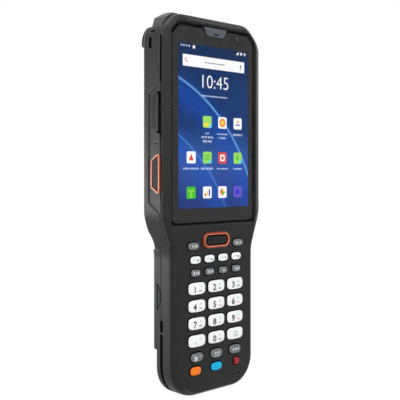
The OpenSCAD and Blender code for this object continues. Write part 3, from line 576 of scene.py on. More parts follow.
def repeat_tree():
    """Geometry Nodes: a pattern on every point, stretched by the point, made real."""
    name = "Pattern on points"
    if name in bpy.data.node_groups:
        return bpy.data.node_groups[name]
    tree, given, result = new_group(
        name, [("Points", "Geometry", None), ("Pattern", "Object", None), ("Finish", "Material", None)],
        [("Geometry", "Geometry")], "GeometryNodeTree")
    pattern = add(tree, "GeometryNodeObjectInfo", {"Object": given["Pattern"]}).outputs["Geometry"]
    stretch = add(tree, "GeometryNodeInputNamedAttribute", {"Name": "stretch"}, data_type="FLOAT_VECTOR")
    spread = add(tree, "GeometryNodeInstanceOnPoints", {
        "Points": given["Points"], "Instance": pattern, "Scale": stretch.outputs["Attribute"]})
    real = add(tree, "GeometryNodeRealizeInstances", {"Geometry": spread.outputs[0]})
    coated = add(tree, "GeometryNodeSetMaterial", {"Geometry": real.outputs[0], "Material": given["Finish"]})
    feed(tree, result, {"Geometry": coated.outputs[0]})
    return tree


# A pattern that keeps its size
WHOLE = (1, 1, 1)


def repeated(pattern, places, finish):
    """A mesh of one pattern at many places, each (point, stretch)."""
    points = bpy.data.meshes.new("points")
    points.from_pydata([p for p, _ in places], [], [])
    stretch = points.attributes.new("stretch", "FLOAT_VECTOR", "POINT")
    stretch.data.foreach_set("vector", [c for _, s in places for c in s])
    holder, sample = placed("holder", points), placed("sample", pattern)
    tree = repeat_tree()
    modifier = holder.modifiers.new("Repeat", "NODES")
    modifier.node_group = tree
    values = {"Pattern": sample, "Finish": finished(finish)}
    for socket in tree.interface.items_tree:
        if socket.name in values:
            modifier[socket.identifier] = values[socket.name]
    mesh = baked(holder)
    bpy.data.objects.remove(sample)
    return mesh


def block(width, depth, height):
    """A small plain block about its own middle, for patterns such as bars."""
    shell = bmesh.new()
    bmesh.ops.create_cube(shell, size=1)
    bmesh.ops.scale(shell, vec=(width * MM, depth * MM, height * MM), verts=shell.verts)
    return solid(shell)


# Keys

# Rise of a key above the front face, height of its crown, and the scan key's rim, in millimetres
KEY_RISE, KEY_CROWN = 1.26, 0.45
SCAN_RISE, SCAN_CROWN, SCAN_EDGE = 1.0, 0.3, 0.5


class KeyShape:
    """The cap of one key: its place, outline and crown, in millimetres."""

    flange = 0.7
    # The cap's side stands this far inside the key's opening
    gap = 0.2
    flange_front, flange_back = 2.1, 2.8
    # Rings of the rounded rim, and of the crown inside it
    steps = 6

    def __init__(self, node, outline_of, rise, crown):
        self.x, self.z, half_x, half_z = extents(node)
        self.width = 2 * (half_x - self.flange - self.gap)
        self.height = 2 * (half_z - self.flange - self.gap)
        self.outline_of = outline_of
        self.rise = rise
        half = self.width / 2
        self.radius = (half * half + crown * crown) / (2 * crown)

    def top(self, x, z):
        """Depth of the crowned top at a place about the key's middle."""
        return -self.rise + self.radius - math.sqrt(self.radius ** 2 - x * x - z * z)

    def ring(self, grow, depth):
        """Points of the outline, grown by an amount, at one depth."""
        outline = self.outline_of(self.width + 2 * grow, self.height + 2 * grow)
        return [spot(self.x + x, depth, self.z + z) for x, z in outline]

    def crowned(self, outline, share=1, drop=0):
        """Points of an outline, shrunk to a share, on the crown or a drop under it."""
        small = [(x * share, z * share) for x, z in outline]
        return [spot(self.x + x, self.top(x, z) + drop, self.z + z) for x, z in small]

    def cap(self, edge, body=0):
        """The cap with its flange, its rim rounded over edge millimetres.

        The flange and the side, up to where the rim begins, take the finish numbered body: dark rubber that
        also paints the shade in the gap round the cap.
        """
        foot = self.flange + self.gap
        rings = [self.ring(foot, self.flange_back), self.ring(foot, self.flange_front),
                 self.ring(0, self.flange_front)]
        for k in range(self.steps + 1):
            a = math.radians(90 * k / self.steps)
            draw_in = edge * (1 - math.cos(a))
            outline = self.outline_of(self.width - 2 * draw_in, self.height - 2 * draw_in)
            rings.append(self.crowned(outline, drop=edge * (1 - math.sin(a))))
        inner = self.outline_of(self.width - 2 * edge, self.height - 2 * edge)
        rings += [self.crowned(inner, 1 - k / self.steps) for k in range(1, self.steps)]
        mesh = stacked(rings, smooth=40)
        # The flange's two rings of faces, the side and the first step of the rim
        for face in mesh.polygons[:4 * len(inner)]:
            face.material_index = body
        return mesh

    def print_on(self, mesh):
        """Lays a flat print, drawn about the key's middle, on the crown."""
        for vertex in mesh.vertices:
            x, z = vertex.co.x / MM, vertex.co.z / MM
            vertex.co.y += self.top(x, z) * MM
            vertex.co += Vector((self.x * MM, 0, self.z * MM))
        return mesh


# Front and back of a print about the cap's crown, and how much the figures' strokes grow
PRINT_FRONT, PRINT_BACK, FIGURE_WEIGHT = -0.06, 0.03, 0.1


# Width and spacing of a word's blocks as shares of their height; every second one is smaller
LETTER_WIDE, LETTER_STEP, LETTER_SIZES = 0.6, 0.88, (1, 0.8)


def word(count, height, x, z):
    """Outlines of a row of small plain blocks, as a printed word reads from afar."""
    step = LETTER_STEP * height
    first = x - (count - 1) * step / 2
    return [round_box(LETTER_WIDE * height * share, height * share, 0.1, 1, first + k * step, z)
            for k, share in zip(range(count), LETTER_SIZES * count)]


# Outlines of the drawn marks at size 1, each with its turn in degrees
ARROW = ((0.8, 0), (-0.5, 0.75), (-0.5, -0.75))
CROSS = ((1, 0.2), (0.2, 0.2), (0.2, 1), (-0.2, 1), (-0.2, 0.2), (-1, 0.2), (-1, -0.2), (-0.2, -0.2),
         (-0.2, -1), (0.2, -1), (0.2, -0.2), (1, -0.2))
HALF = ((-1, -1.1), (0, -1), (0.7, -0.6), (0.9, 0), (0.7, 0.6), (0, 1), (-1, 1.1))
DRAWN = {"right": (ARROW, 0), "up": (ARROW, 90), "left": (ARROW, 180), "cross": (CROSS, 45),
         "half": (HALF, 0)}


def mark(kind, size, x, z):
    """A plain printed mark about (x, z): outlines for plate()."""
    if kind.startswith("word"):
        return word(int(kind[4:]), size, x, z)
    if kind == "bar":
        return [round_box(2.6 * size, 0.55 * size, 0.2 * size, 2, x, z)]
    if kind == "dot":
        return [circle(0.5 * size, x, z, 16)]
    if kind == "ring":
        return [circle(0.8 * size, x, z, 20), circle(0.5 * size, x, z, 20)[::-1]]
    shape, turn = DRAWN[kind]
    c, s = math.cos(math.radians(turn)), math.sin(math.radians(turn))
    return [[(x + size * (px * c - pz * s), z + size * (px * s + pz * c)) for px, pz in shape]]


# Finishes of a cap after its own: the printed inks, then the dark rubber of its side, which also paints the
# shade in the gap round it
DARK, LIGHT, RED, TEAL, BODY = 1, 2, 3, 4, 5
CAP_FINISHES = ("dark_ink", "light_ink", "red_ink", "teal_ink", "key_side_rubber_shade")
# A cap's own finish, by its slot
CAPS = {"key_white": "white_key", "key_grey": "grey_key", "key_orange": "orange_key", "key_blue": "blue_key",
        "key_red": "red_key"}
DIGITS, RED_MARKED = "1234567890", "5689"
# Each key: squareness of its outline, slot, then its printed marks: kind, size, x, z, ink
KEYS = {
    "key_left": (3, "key_grey", [("left", 1.1, -1.2, 0, LIGHT), ("word2", 1.4, 1.3, 0, LIGHT)]),
    "key_right": (3, "key_grey", [("right", 1.1, 1.2, 0, LIGHT), ("word2", 1.5, -1.2, 0, LIGHT)]),
    "key_f1": (3.2, "key_white", [("ring", 0.8, -1.6, 0.4, TEAL), ("word2", 1.0, 1.1, -0.2, DARK)]),
    "key_f2": (3.2, "key_white", [("ring", 0.8, -1.6, 0.4, TEAL), ("word3", 0.8, 0.9, -0.3, DARK)]),
    "key_f3": (3.2, "key_white", [("word2", 0.9, -1.5, 0.2, TEAL), ("left", 0.9, 1.1, -0.1, DARK)]),
    "key_f4": (3.2, "key_white", [("word2", 0.8, -1.5, 0.3, TEAL), ("cross", 0.7, 0.8, -0.2, DARK)]),
    "key_esc": (3.2, "key_grey", [("word3", 1.8, 0, -0.1, LIGHT)]),
    "key_tab": (3.2, "key_grey", [("word3", 1.5, 0.1, 0.1, LIGHT)]),
    "key_up": (3.2, "key_grey", [("up", 1.3, -0.2, 0, LIGHT)]),
    "key_delete": (3.2, "key_grey", [("word3", 1.4, 0.1, 0, LIGHT)]),
    "key_dot": (4, "key_white", [("dot", 1.1, -1.6, -1.0, TEAL), ("word2", 0.8, 1.9, 1.1, TEAL)]),
    "key_enter": (4, "key_white", [("word3", 1.2, -0.2, 0.9, TEAL), ("word3", 1.3, -0.2, -0.9, TEAL)]),
    "key_light": (2.8, "key_grey", [("half", 1.2, -1.2, -0.4, LIGHT), ("word2", 0.9, 1.8, 0.6, TEAL)]),
    "key_shift": (2.8, "key_grey", [("word4", 1.2, 0, 0.3, LIGHT), ("bar", 1.3, 0, -1.2, LIGHT)]),
    "key_space": (2.8, "key_grey", [("word4", 1.4, 0, 0, LIGHT)]),
    "key_orange": (3, "key_orange", []),
    "key_blue": (2.8, "key_blue", []),
    "key_red": (3.2, "key_red", []),
}


# Settings that a user would change

class TerminalSizes(bpy.types.PropertyGroup):
    """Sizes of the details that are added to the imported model."""

    cover_edge: FloatProperty(
        name="Cover edge", description="Radius of the mouldings' outer edges",
        default=0.3 * MM, min=0.05 * MM, max=0.8 * MM, unit="LENGTH", precision=5)
    key_edge: FloatProperty(
        name="Key edge", description="Radius round a key's top",
        default=0.7 * MM, min=0.2 * MM, max=1.2 * MM, unit="LENGTH", precision=5)
    figure_height: FloatProperty(
        name="Figure height", description="Height of the figures on the number keys",
        default=3.2 * MM, min=1.5 * MM, max=4 * MM, unit="LENGTH", precision=5)
    icon_size: FloatProperty(
        name="Icon size", description="Width of a picture's square on the display",
        default=6.4 * MM, min=4 * MM, max=8 * MM, unit="LENGTH", precision=5)
    screw_lobes: IntProperty(
        name="Screw lobes", description="Lobes of the socket in a screw's head",
        default=6, min=4, max=8)
    floor_size: FloatProperty(
        name="Floor size", description="Width of the floor",
        default=8.0, min=2.0, max=20.0, unit="LENGTH")


class TerminalFinish(bpy.types.PropertyGroup):
    """Colours of the main finishes."""

    cover: FloatVectorProperty(
        name="Covers", description="Colour of the moulded covers", subtype="COLOR",
        size=3, min=0, max=1, default=(0.0095, 0.0095, 0.0099))
    trim: FloatVectorProperty(
        name="Trim", description="Colour of the trigger rims and the scan key's ring", subtype="COLOR",
        size=3, min=0, max=1, default=(0.24, 0.022, 0.004))
    white_key: FloatVectorProperty(
        name="White keys", description="Colour of the white keys", subtype="COLOR",
        size=3, min=0, max=1, default=(0.84, 0.84, 0.84))
    grey_key: FloatVectorProperty(
        name="Grey keys", description="Colour of the grey keys", subtype="COLOR",
        size=3, min=0, max=1, default=(0.138, 0.14, 0.142))
    floor: FloatVectorProperty(
        name="Floor", description="Colour of the floor", subtype="COLOR",
        size=3, min=0, max=1, default=(0.9, 0.9, 0.9))


def sizes():
    """The settings of the sizes."""
    return bpy.context.scene.terminal_sizes


# Radii of the moulded edges other than the covers', in millimetres
HOOD_EDGE, RIM_EDGE, PAD_EDGE, LATCH_EDGE, SIDE_KEY_EDGE, INSERT_EDGE = 0.45, 0.22, 0.35, 0.3, 0.5, 0.2
# The front's crisp edges reach this far past the glass, and down to this height
GLASS_MARGIN, KEYS_FOOT = 1.6, 4
# Finishes of the trigger rims and the scan key's ring: flat faces, then rounded edges in a paler orange, a
# painted highlight
TRIM = ["trim_plastic", "highlit_edge_trim"]


class TERMINAL_OT_covers(bpy.types.Operator):
    """Round the edges of the covers, the hood and the battery, and give them their plastic"""

    bl_idname = "terminal.covers"
    bl_label = "Covers"

    def execute(self, context):
        edge = sizes().cover_edge / MM
        # The rounded edges take the paler plastic, a painted highlight
        shell = ["cover_plastic", "highlit_edge_plastic"]
        # The joint round the glass and the keys' openings keep crisp edges
        _, z, half_x, half_z = extents("display_glass")
        openings = (half_x + GLASS_MARGIN, KEYS_FOOT, z + half_z + GLASS_MARGIN)
        mould("front_cover_moulding", "front_cover", "housing", "shell", shell, edge, inner=openings)
        mould("rear_cover_moulding", "rear_cover", "housing", "shell", shell, edge)
        mould("battery_moulding", "battery_pack", "battery_pack", "shell", shell, edge, smooth=25)
        # The hood's rounded edges take the paler plastic, a painted highlight
        hood = ["hood_plastic", "highlit_edge_plastic"]
        mould("hood_moulding", "scan_hood", "housing", "soft_black", hood, HOOD_EDGE)
        return {"FINISHED"}


class TERMINAL_OT_side_controls(bpy.types.Operator):
    """Make the triggers, the side keys and the battery's latches"""

    bl_idname = "terminal.side_controls"
    bl_label = "Side controls"

    def execute(self, context):
        # The side keys' rounded edges take the paler plastic, a painted highlight
        rubber, grey = ["pad_rubber", "pad_rubber"], ["side_key_plastic", "highlit_edge_plastic"]
        # The latches' rounded edges take near-black, a painted shade
        hollow = ["pad_rubber", "latch_edge_shade"]
        for side in ("left", "right"):
            rim, pad, latch = side + "_trigger_rim", side + "_trigger", "battery_latch_" + side
            mould(rim + "_moulding", rim, "housing", "orange_trim", TRIM, RIM_EDGE, segments=3)
            mould(pad + "_pad", pad, pad, "soft_black", rubber, PAD_EDGE, segments=3)
            mould(latch + "_cap", latch, latch, "soft_black", hollow, LATCH_EDGE, segments=3)
        for key in ("volume_key", "power_key"):
            mould(key + "_cap", key, key, "side_key_grey", grey, SIDE_KEY_EDGE, segments=3)
        return {"FINISHED"}


class TERMINAL_OT_keys(bpy.types.Operator):
    """Make the key caps with their printed marks"""

    bl_idname = "terminal.keys"
    bl_label = "Keys"

    def execute(self, context):
        edge = sizes().key_edge / MM
        figure = sizes().figure_height / MM
        keys = dict(KEYS)
        for digit in DIGITS:
            lower = RED if digit in RED_MARKED else DARK
            keys["key_" + digit] = (4, "key_white", [
                (digit, figure, -2.0, -0.6, DARK), ("word2", 0.9, 2.0, 1.0, TEAL),
                ("word3", 0.8, 1.9, -1.3, lower)])
        for node, (power, slot, marks) in keys.items():
            shape = KeyShape(node, lambda w, h, p=power: pillow(w, h, p), KEY_RISE, KEY_CROWN)
            # The cap's side takes the dark rubber, which also paints the shade in the gap round it
            parts = [(shape.cap(min(edge, shape.height / 4), BODY), None)]
            for kind, size, x, z, ink in marks:
                if kind.isdigit():
                    flat = lettered(kind, size, x, z, PRINT_FRONT, PRINT_BACK, FIGURE_WEIGHT)
                else:
                    flat = plate(mark(kind, size, x, z), PRINT_FRONT, PRINT_BACK)
                parts.append((shape.print_on(flat), ink))
            finishes = [CAPS[slot], *CAP_FINISHES]
            piece(node + "_cap", joined(parts, smooth=40), node, finishes, [node])
        return {"FINISHED"}


# The scan key's outline: its corners' radius is this much under half its height
SCAN_SQUARE = 0.3
# The ring's section as (growth of an outline, depth): of its outer edge, then of the key's opening
RING_OUTSIDE = ((0, 2.0), (0, -0.5), (-0.04, -0.72), (-0.14, -0.9), (-0.3, -1.0), (-0.5, -1.06))
RING_INSIDE = ((0.86, -1.22), (0.74, -1.27), (0.62, -1.22), (0.52, -1.04), (0.44, -0.7), (0.4, -0.2),
               (0.4, 2.0))
# First and last row of the ring's faces along its crest, which take the paler orange of a painted highlight
CREST = (6, 8)


class TERMINAL_OT_scan_key(bpy.types.Operator):
    """Make the scan key and the bevelled ring round it"""

    bl_idname = "terminal.scan_key"
    bl_label = "Scan key"

    def execute(self, context):
        x0, z0, half_x, half_z = extents("key_scan")
        width, height = (2 * (half - KeyShape.flange) for half in (half_x, half_z))

        def outline(w, h):
            """A rounded box that keeps its nearly round ends at every size."""
            return round_box(w, h, h / 2 - SCAN_SQUARE * h / height, 8)

        shape = KeyShape("key_scan", outline, SCAN_RISE, SCAN_CROWN)
        piece("key_scan_cap", shape.cap(SCAN_EDGE), "key_scan", ["black_key"], ["key_scan"])
        outer = extents("scan_key_ring")[2] - width / 2
        rings = []
        for grow, depth in [(outer + inset, depth) for inset, depth in RING_OUTSIDE] + list(RING_INSIDE):
            radius = height / 2 - SCAN_SQUARE + grow
            line = round_box(width + 2 * grow, height + 2 * grow, radius, 10, x0, z0)
            rings.append([spot(x, depth, z) for x, z in line])
        ring = stacked(rings, smooth=50, closed=True)
        for face in ring.polygons:
            face.material_index = int(CREST[0] <= face.index // len(rings[0]) <= CREST[1])
        piece("scan_ring_bevelled", ring, "housing", TRIM, ["scan_key_ring"])
        return {"FINISHED"}


# Middles of the picture's squares: x of the columns, z of the rows, in millimetres
COLUMNS = (-16.9, -5.3, 6.0, 17.8)
ROWS = (144.7, 125.6, 107.0)
SCREEN_X, SCREEN_LOW, SCREEN_HIGH, SCREEN_HALF = 0.1, 98.8, 185.2, 25.92
# Heights of the status line, the entry bar and the clock
STATUS_Z, ENTRY_Z, CLOCK_Z = 183.8, 176.3, 165.8
# Height of the clock's figures, and what is added to their strokes: less than nothing thins them
CLOCK_TALL, CLOCK_WEIGHT = 7.0, -0.1
# Depths of the layers between the glass and the display module, and their thickness
BASE, GLYPH, DETAIL, SHEET = 1.249, 1.238, 1.230, 0.007
# Front and back of the printed border and of the painted shadow line along the rim
BORDER_PRINT, RIM_SHADOW = (1.203, 1.218), (1.18, 1.2)
# The printed border stops this far inside the glass; the painted shadow line runs between two insets
BORDER_INSET, RIM_INSETS = -0.12, (-0.02, -0.85)
# The border's notch round the earpiece: how much wider it is, and how far its sides slant
NOTCH_GROW, NOTCH_SLANT = 0.1, 2.5
CAMERA_HOLE = 1.55
# Cut of the glass's upper corners, and radii of its upper and lower corners
GLASS_CUT, GLASS_UPPER, GLASS_LOWER = 4.6, 3, 2.5
# The wallpaper's colours from foot to top, then its arcs: centre x and z, radius, width, glow, share
FIELD = ((0.0, (24, 50, 116)), (0.12, (34, 64, 138)), (0.3, (44, 84, 156)), (0.5, (4, 50, 112)),
         (0.72, (0, 48, 104)), (1.0, (0, 36, 80)))
ARCS = ((-62, 78, 90.0, 13.0, (4, 80, 196), 0.4), (-62, 78, 96.0, 1.1, (110, 180, 250), 0.7),
        (-74, 60, 86.0, 12.0, (10, 92, 215), 0.34), (-74, 60, 91.0, 0.8, (90, 170, 245), 0.4))
# Lit colours of the picture: at the foot and at the top of the display
SHADES = {
    "white": ((250, 250, 252), (252, 252, 253)), "green": ((60, 190, 30), (110, 222, 60)),
    "cyan": ((80, 215, 235), (110, 225, 245)), "orange": ((238, 130, 50), (244, 150, 70)),
    "red": ((206, 62, 58), (224, 84, 74)), "lime": ((140, 214, 84), (168, 230, 110)),
    "violet": ((96, 84, 200), (112, 96, 214)), "grey": ((190, 208, 236), (206, 220, 244)),
    "yellow": ((232, 216, 50), (244, 228, 90)), "blue": ((60, 44, 200), (72, 60, 214)),
    "dark": ((96, 84, 80), (110, 98, 92)),
}


def glowing(tree, shader, colour, blue=0.004):
    """Makes a surface glow in a colour, almost black without it, with a trace of blue."""
    feed(tree, shader, {"Emission Color": colour, "Emission Strength": 1, "Roughness": 0.5,
                        "Base Color": (0.004, 0.004, blue, 1), "Specular IOR Level": 0.05})


def lit(name, low, high):
    """A lit colour of the picture, running from low to high up the display."""
    tree, shader, here = begin(name)
    up = add(tree, "ShaderNodeSeparateXYZ", {"Vector": here}).outputs["Z"]
    share = ranged(tree, up, SCREEN_LOW * MM, SCREEN_HIGH * MM)
    glowing(tree, shader, blended(tree, share, paint(*low), paint(*high)))


def picture(name):
    """The lit picture: a blue field with two wide soft arcs of light, dark outside it."""
    tree, shader, here = begin(name)
    at = add(tree, "ShaderNodeSeparateXYZ", {"Vector": here}).outputs
    left, right = (SCREEN_X - SCREEN_HALF) * MM, (SCREEN_X + SCREEN_HALF) * MM
    across = ranged(tree, at["X"], left, right, clamp=False)
    up = ranged(tree, at["Z"], SCREEN_LOW * MM, SCREEN_HIGH * MM, clamp=False)
    ramp = add(tree, "ShaderNodeValToRGB", {"Fac": up})
    steps = ramp.color_ramp.elements
    steps[0].color = paint(*FIELD[0][1])
    steps[1].color = paint(*FIELD[-1][1])
    for position, levels in FIELD[1:-1]:
        steps.new(position).color = paint(*levels)
    colour = ramp.outputs[0]
    flat = add(tree, "ShaderNodeCombineXYZ", {"X": at["X"], "Z": at["Z"]}).outputs[0]
    # Distance from a centre low on the left gives each arc
    for x, z, radius, width, levels, share in ARCS:
        away = add(tree, "ShaderNodeVectorMath", {0: flat, 1: (x * MM, 0, z * MM)}, operation="DISTANCE")
        off = sums(tree, "ABSOLUTE", sums(tree, "SUBTRACT", away.outputs["Value"], radius * MM))
        band = ranged(tree, off, 0, width * MM, share, 0, interpolation_type="SMOOTHSTEP")
        colour = blended(tree, band, colour, paint(*levels))
    inside = [sums(tree, "LESS_THAN", sums(tree, "ABSOLUTE", sums(tree, "SUBTRACT", part, 0.5)), 0.5)
              for part in (across, up)]
    shown = blended(tree, sums(tree, "MULTIPLY", *inside), (0, 0, 0, 1), colour)
    glowing(tree, shader, shown, blue=0.005)


OTHERS["picture"] = (picture,)
OTHERS.update(("screen_" + name, (lit, *ends)) for name, ends in SHADES.items())


def glass_outline(grow):
    """The touch glass from the front, grown by an amount in millimetres."""
    x, z, half_x, half_z = extents("display_glass")
    w, low, high = half_x + grow, z - half_z - grow, z + half_z + grow
    right = [(w, low, GLASS_LOWER), (w, high - GLASS_CUT, GLASS_UPPER), (w - GLASS_CUT, high, GLASS_UPPER)]
    left = [(-x, z, radius) for x, z, radius in right[::-1]]
    return rounded([(*corner, 4) for corner in right + left])


def drop_shape(x, z, size):
    """A leaf of two arcs, as a closed outline."""
    points = []
    for k in range(13):
        a = math.radians(-60 + 120 * k / 12)
        points.append((x + size * (math.cos(a) - 0.5) * 1.4, z + size * math.sin(a) * 1.15))
    return points + [(2 * x - px, 2 * z - pz) for px, pz in points]


# Shapes along the top of the picture: ink, depth, outlines
TOP_SHAPES = (
    *(("grey", BASE, round_box(width, 0.9, 0.2, 2, x, STATUS_Z + 0.1))
      for x, width in ((-23.7, 0.8), (-22.0, 0.9), (-20.3, 0.7), (-18.4, 1.1))),
    ("white", BASE, circle(0.95, -15.0, STATUS_Z - 0.1)),
    ("white", BASE, [(16.4, STATUS_Z - 0.8), (18.6, STATUS_Z - 0.8), (18.6, STATUS_Z + 1.1)]),
    ("white", BASE, round_box(1.4, 1.5, 0.3, 2, 20.6, STATUS_Z)),
    ("white", BASE, round_box(1.2, 1.5, 0.3, 2, 23.4, STATUS_Z)),
    # The entry bar, a ring with a handle at its left end, and two strokes at its right
    ("white", BASE, round_box(45.8, 6.1, 0.4, 3, 0.1, ENTRY_Z)),
    ("red", GLYPH, circle(0.95, -20.6, ENTRY_Z + 0.3), circle(0.6, -20.6, ENTRY_Z + 0.3)[::-1]),
    ("red", GLYPH, [(-20.1, ENTRY_Z - 0.4), (-19.3, ENTRY_Z - 1.3), (-19.0, ENTRY_Z - 1.0),
                    (-19.8, ENTRY_Z - 0.1)]),
    ("dark", GLYPH, round_box(1.0, 1.9, 0.45, 3, 20.2, ENTRY_Z + 0.3)),
    ("dark", GLYPH, round_box(1.6, 0.4, 0.15, 2, 20.2, ENTRY_Z - 1.4)),
)
# Usual width of a square, its height as a share of the width, and the radius of its corners
USUAL, TILE_TALL, TILE_CORNER = 6.4, 0.985, 0.9
# The small disc at the lower right of some squares
BADGE = ("cyan", DETAIL, circle(1.0, 2.1, -2.1))
# Squares of the picture: column, row, ink, then the shapes on each, drawn for its usual width
TILES = (
    (1, 0, "lime", ("yellow", GLYPH, round_box(0.62 * USUAL, 0.34 * USUAL, 0.4, 3, -0.7, -1.5)), BADGE),
    (2, 0, "white", ("orange", GLYPH, circle(2.35)), ("yellow", DETAIL, circle(1.1))),
    (3, 0, "white", ("orange", GLYPH, round_box(1.3, 1.3, 0.2, 2, 0, 1.1)),
     ("violet", GLYPH, round_box(3.4, 0.8, 0.3, 2, 0, -0.7))),
    (0, 1, "white", ("red", GLYPH, [(-1.7, -1.6), (1.7, -1.6), (0, 1.9)])),
    (1, 1, "lime", ("green", GLYPH, round_box(3.6, 0.8, 0.3, 2, -0.3, 1.0),
                    round_box(3.6, 0.8, 0.3, 2, -0.3, -0.6)), BADGE),
    (2, 1, "red", ("white", GLYPH, round_box(3.6, 3.6, 0.7, 4)),
     ("red", DETAIL, round_box(1.8, 1.8, 0.3, 3))),
    (3, 1, "lime", ("green", GLYPH, drop_shape(-0.2, 0.2, 1.4)), BADGE),
    (0, 2, "green", ("lime", GLYPH, round_box(3.4, 1.1, 0.4, 3, 0, 0.9),
                     round_box(1.1, 3.2, 0.4, 3, 0, -0.9))),
    (1, 2, "white", ("red", GLYPH, round_box(1.0, 1.6, 0.3, 3, -1.5, -1.2)),
     ("yellow", GLYPH, round_box(1.0, 2.7, 0.3, 3, 0, -0.65)),
     ("blue", GLYPH, round_box(1.0, 3.8, 0.3, 3, 1.5, -0.1))),
    (2, 2, "white", ("red", GLYPH, [(0, 2.2), (-2.2, 0), (0, 0)]),
     ("orange", GLYPH, [(-2.2, 0), (0, -2.2), (0, 0)]),
     ("green", GLYPH, [(0, -2.2), (2.2, 0), (0, 0)]),
     ("yellow", GLYPH, [(2.2, 0), (0, 2.2), (0, 0)])),
    (3, 2, "violet", ("blue", GLYPH, circle(1.5))),
)


def picture_parts(icon):
    """Flat shapes of the picture as (mesh, ink number): generic squares, bars and figures."""
    inks = list(SHADES)
    parts = []

    def lay(ink, level, *outlines):
        """Adds a thin plate in an ink, with its front at a level."""
        parts.append((plate(outlines, level - SHEET, level), inks.index(ink)))

    for shape in TOP_SHAPES:
        lay(*shape)
    clock = lettered("10:45", CLOCK_TALL, 0.1, CLOCK_Z, BASE - SHEET, BASE, CLOCK_WEIGHT)
    parts.append((clock, inks.index("white")))
    scale = icon / USUAL
    for column, row, ink, *shapes in TILES:
        x, z = COLUMNS[column], ROWS[row]
        lay(ink, BASE, round_box(icon, icon * TILE_TALL, TILE_CORNER, 4, x, z))
        for glyph, level, *outlines in shapes:
            lay(glyph, level, *([(x + px * scale, z + pz * scale) for px, pz in outline]
                                for outline in outlines))
    return parts


# Captions under the squares and the clock as (x, z, width), in millimetres
CAPTIONS = [(COLUMNS[1], 138.5, 3), (COLUMNS[1], 136.5, 8.4), (COLUMNS[1], 134.3, 6.2),
            (COLUMNS[2], 138.5, 8.0), (COLUMNS[2], 136.4, 5.6), (COLUMNS[3], 138.5, 7.2), (0.1, 158.5, 18.4),
            *((x, 119.7, width) for x, width in zip(COLUMNS, (11.0, 9.2, 8.4, 6.4)))]


# Bars of a caption: least and greatest length and height, the gaps after a bar and after a word
BAR_LONG, BAR_TALL, BAR_GAP, WORD_GAP = (0.5, 0.85), (0.75, 1.15), 0.38, 0.85


def bar_line(x, z, width, number, level):
    """Places of the short bars in one caption, (point, stretch), centred on (x, z)."""
    places = []
    at, end, k = x - width / 2, x + width / 2, 0
    while at < end - 0.3:
        length = BAR_LONG[0] + (BAR_LONG[1] - BAR_LONG[0]) * ((number * 7 + k * 5) % 4) / 3
        length = min(length, end - at)
        tall = BAR_TALL[0] + (BAR_TALL[1] - BAR_TALL[0]) * ((number + k * 3) % 3) / 2
        places.append((spot(at + length / 2, level - SHEET / 2, z), (length, 1, tall)))
        at += length + (WORD_GAP if (number + k) % 6 == 4 else BAR_GAP)
        k += 1
    return places


# Profile of the front camera's lens: radius and depth in millimetres
FRONT_LENS = ((2.2, 3.2), (2.2, 1.25), (1.4, 1.25), (1.4, 0.42), (1.28, 0.3), (1.05, 0.3), (0.95, 0.5),
              (0.62, 0.72), (0.5, 0.6), (0.3, 0.52), (0.12, 0.5))


class TERMINAL_OT_display(bpy.types.Operator):
    """Make the display: clear glass, printed border, lit picture, earpiece and front camera"""

    bl_idname = "terminal.display"
    bl_label = "Display"

    def execute(self, context):
        coat("touch_glass", "display_glass")
        coat("picture", "lcd_panel")
        coat("gasket_foam", "display_gasket")
        window = round_box(2 * SCREEN_HALF, SCREEN_HIGH - SCREEN_LOW, 0.25, 2, SCREEN_X,
                           (SCREEN_HIGH + SCREEN_LOW) / 2)
        lens_x, lens_z, _, _ = extents("front_camera")
        _, z, half_x, half_z = extents("earpiece_grille")
        # The printed border ends at the insert: its outline dips round it from the top edge
        edge = glass_outline(BORDER_INSET)
        top = max(p[1] for p in edge)
        low = z - half_z + BORDER_INSET
        wide, narrow = half_x + NOTCH_GROW, half_x - NOTCH_SLANT
        notch = [(wide, top), (narrow, low), (-narrow, low), (-wide, top)]
        cut = max(range(len(edge) - 1), key=lambda i: edge[i][1] + edge[i + 1][1])
        outline = edge[:cut + 1] + notch + edge[cut + 1:]
        hole = circle(CAMERA_HOLE, lens_x, lens_z)
        border = plate([outline, window[::-1], hole[::-1]], *BORDER_PRINT)
        piece("glass_border", border, "housing", ["border_ink"])
        # A near-black line along the glass's rim: a painted shadow of the joint round it
        outside, inside = (glass_outline(inset) for inset in RIM_INSETS)
        rim = plate([outside, inside[::-1]], *RIM_SHADOW)
        piece("glass_rim_print", rim, "housing", ["rim_shadow"])

        shapes = joined(picture_parts(sizes().icon_size / MM))
        piece("picture_shapes", shapes, "housing", ["screen_" + name for name in SHADES])
        # Lines that stand for captions: short bars of uneven lengths
        captions = [place for number, (x, z, width) in enumerate(CAPTIONS)
                    for place in bar_line(x, z, width, number, BASE)]
        entry = bar_line(0.2, ENTRY_Z, 15.0, 3, GLYPH)
        for name, ink, places in (("caption_lines", "screen_grey", captions),
                                  ("entry_line", "screen_dark", entry)):
            piece(name, repeated(block(1, SHEET, 1), places, ink), "housing", [ink])

        mesh = ["earpiece_mesh", "earpiece_mesh"]
        mould("earpiece_insert", "earpiece_grille", "housing", "grille_grey", mesh, INSERT_EDGE)
        lens = turned(FRONT_LENS, lens_x, lens_z, steps=40)
        piece("front_camera_lens", lens, "housing", ["camera_black"], ["front_camera"])
        return {"FINISHED"}


# Profile of the rear camera past its side: inset from the radius and rise from the back
REAR_RIM = ((0, -0.25), (0.25, 0), (0.9, 0), (1.1, -0.5), (1.9, -0.7), (2.0, -1.2))
# The lens inside it: radius and rise from the back
REAR_LENS = ((1.6, -1.3), (1.2, -1.0), (0.7, -0.82), (0.2, -0.78))
# Ribs of the flash: how many, the first one's inset, their spacing, and a rib's width
FLASH_RIBS, FIRST_RIB, RIB_STEP, RIB_WIDTH = 5, 0.15, 0.4, 0.25
# How far under the back its side, the ribs' edges and the grooves end
FLASH_SIDE, RIB_EDGE, RIB_GROOVE = 0.1, 0.02, 0.16


